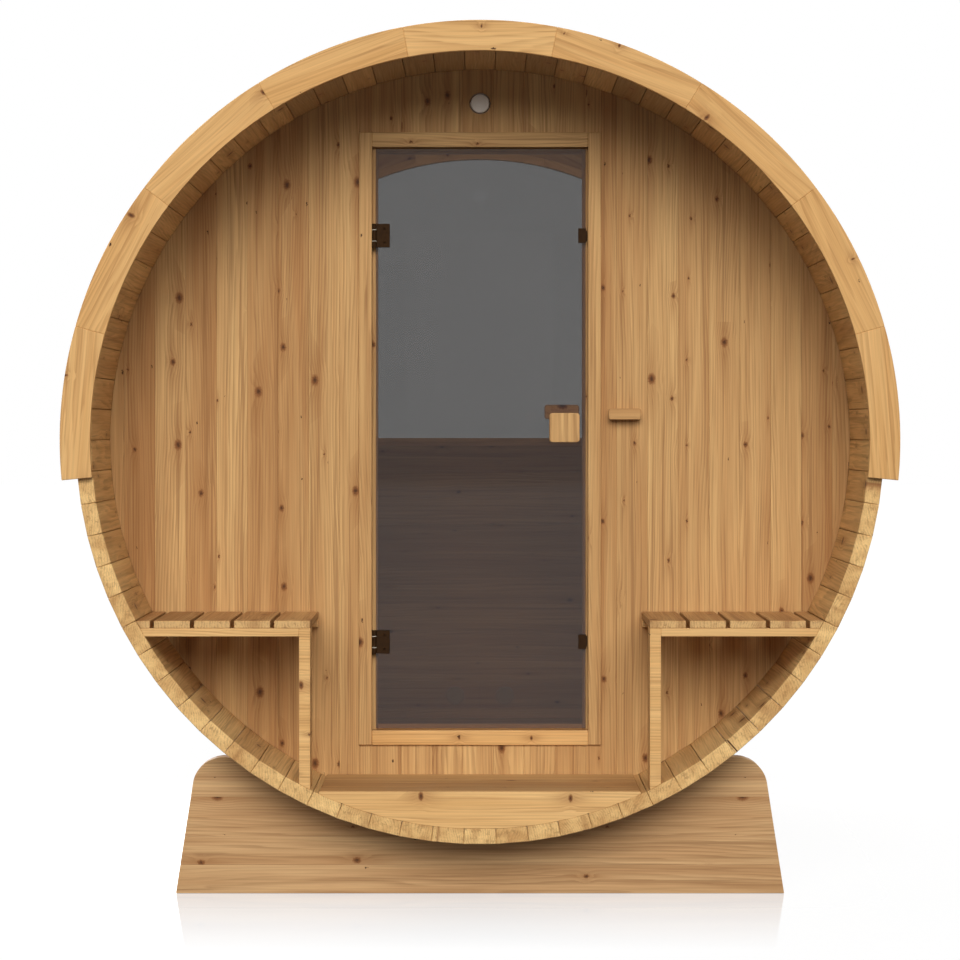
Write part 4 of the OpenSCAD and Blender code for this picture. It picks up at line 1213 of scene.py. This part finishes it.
world = bpy.data.worlds.new("white room")
world.use_nodes = True
bpy.context.scene.world = world
tree = world.node_tree
tree.nodes.clear()
path = add(tree, "LightPath")
seen = add(tree, "Background", {"Color": (1.0, 1.0, 1.0, 1.0), "Strength": 1.0})
felt = add(tree, "Background", {"Color": (1.0, 0.98, 0.95, 1.0), "Strength": 0.05})
mirrored = add(tree, "Background", {"Color": (1.0, 1.0, 1.0, 1.0)})
place = add(tree, "TexCoord")
direction = add(tree, "SeparateXYZ", {0: (place, "Generated")})
wall_light = add(tree, "MapRange", {0: (direction, 1), 1: -0.3, 2: -0.1, 3: 0.45, 4: 1.0})
tree.links.new(wall_light.outputs[0], mirrored.inputs["Strength"])
indirect = add(tree, "MixShader", {0: (path, "Is Diffuse Ray"), 1: mirrored, 2: felt})
both = add(tree, "MixShader", {0: (path, "Is Camera Ray"), 1: indirect, 2: seen})
add(tree, "OutputWorld", {"Surface": both})

fill = bpy.data.objects.new("cabin fill", bpy.data.lights.new("cabin fill", "AREA"))
bpy.context.scene.collection.objects.link(fill)
fill.data.shape, fill.data.size, fill.data.size_y, fill.data.energy = "RECTANGLE", 0.9, 0.1, 1.2
fill.location = (0.0, REAR_FRONT - 0.52, CENTRE_Z + 0.72)
fill.rotation_euler = (math.radians(90), 0.0, 0.0)
fill.visible_camera = fill.visible_glossy = False

floor_mesh = bpy.data.meshes.new("studio_floor")
side, FADE = 60.0, 0.88
floor_mesh.from_pydata([(-side, -side, -0.0005), (side, -side, -0.0005), (side, side, -0.0005), (-side, side, -0.0005)], [], [(0, 1, 2, 3)])
floor = bpy.data.objects.new("studio_floor", floor_mesh)
bpy.context.scene.collection.objects.link(floor)
paint, tree = blank("white studio floor")
lit = add(tree, "BsdfDiffuse", {"Color": (0.12, 0.12, 0.12, 1.0)})
path = add(tree, "LightPath")
glow = add(tree, "MapRange", {0: (path, "Is Glossy Ray"), 3: 0.89, 4: 0.55})
own = add(tree, "Emission", {"Color": (1.0, 1.0, 1.0, 1.0), "Strength": glow})
matt = add(tree, "AddShader", {0: lit, 1: own})
quiet = add(tree, "BsdfDiffuse", {"Color": (0.03, 0.03, 0.03, 1.0)})
pale = add(tree, "MixShader", {0: (path, "Is Diffuse Ray"), 1: matt, 2: quiet})
place = add(tree, "TexCoord")
spread = add(tree, "VectorMath", {0: (place, "Object")}, operation="ABSOLUTE")
beyond = add(tree, "VectorMath", {0: spread, 1: (CRADLE_W / 2, -float(box("front_cradle")[0][1]), 0.0)}, operation="SUBTRACT")
outside = add(tree, "VectorMath", {0: beyond, 1: (0.0, 0.0, 0.0)}, operation="MAXIMUM")
distance = add(tree, "VectorMath", {0: outside}, operation="LENGTH")
polish = add(tree, "MapRange", {0: (distance, "Value"), 2: FADE, 3: 0.85, 4: 0.0})
grazing = add(tree, "Fresnel", {"IOR": 1.55})
mirror = add(tree, "Math", {0: grazing, 1: polish}, operation="MULTIPLY")
gloss = add(tree, "BsdfGlossy", {"Color": (1.0, 1.0, 1.0, 1.0), "Roughness": 0.05})
shader = add(tree, "MixShader", {0: mirror, 1: pale, 2: gloss})
add(tree, "OutputMaterial", {"Surface": shader})
floor_mesh.materials.append(paint)
print("studio ready")
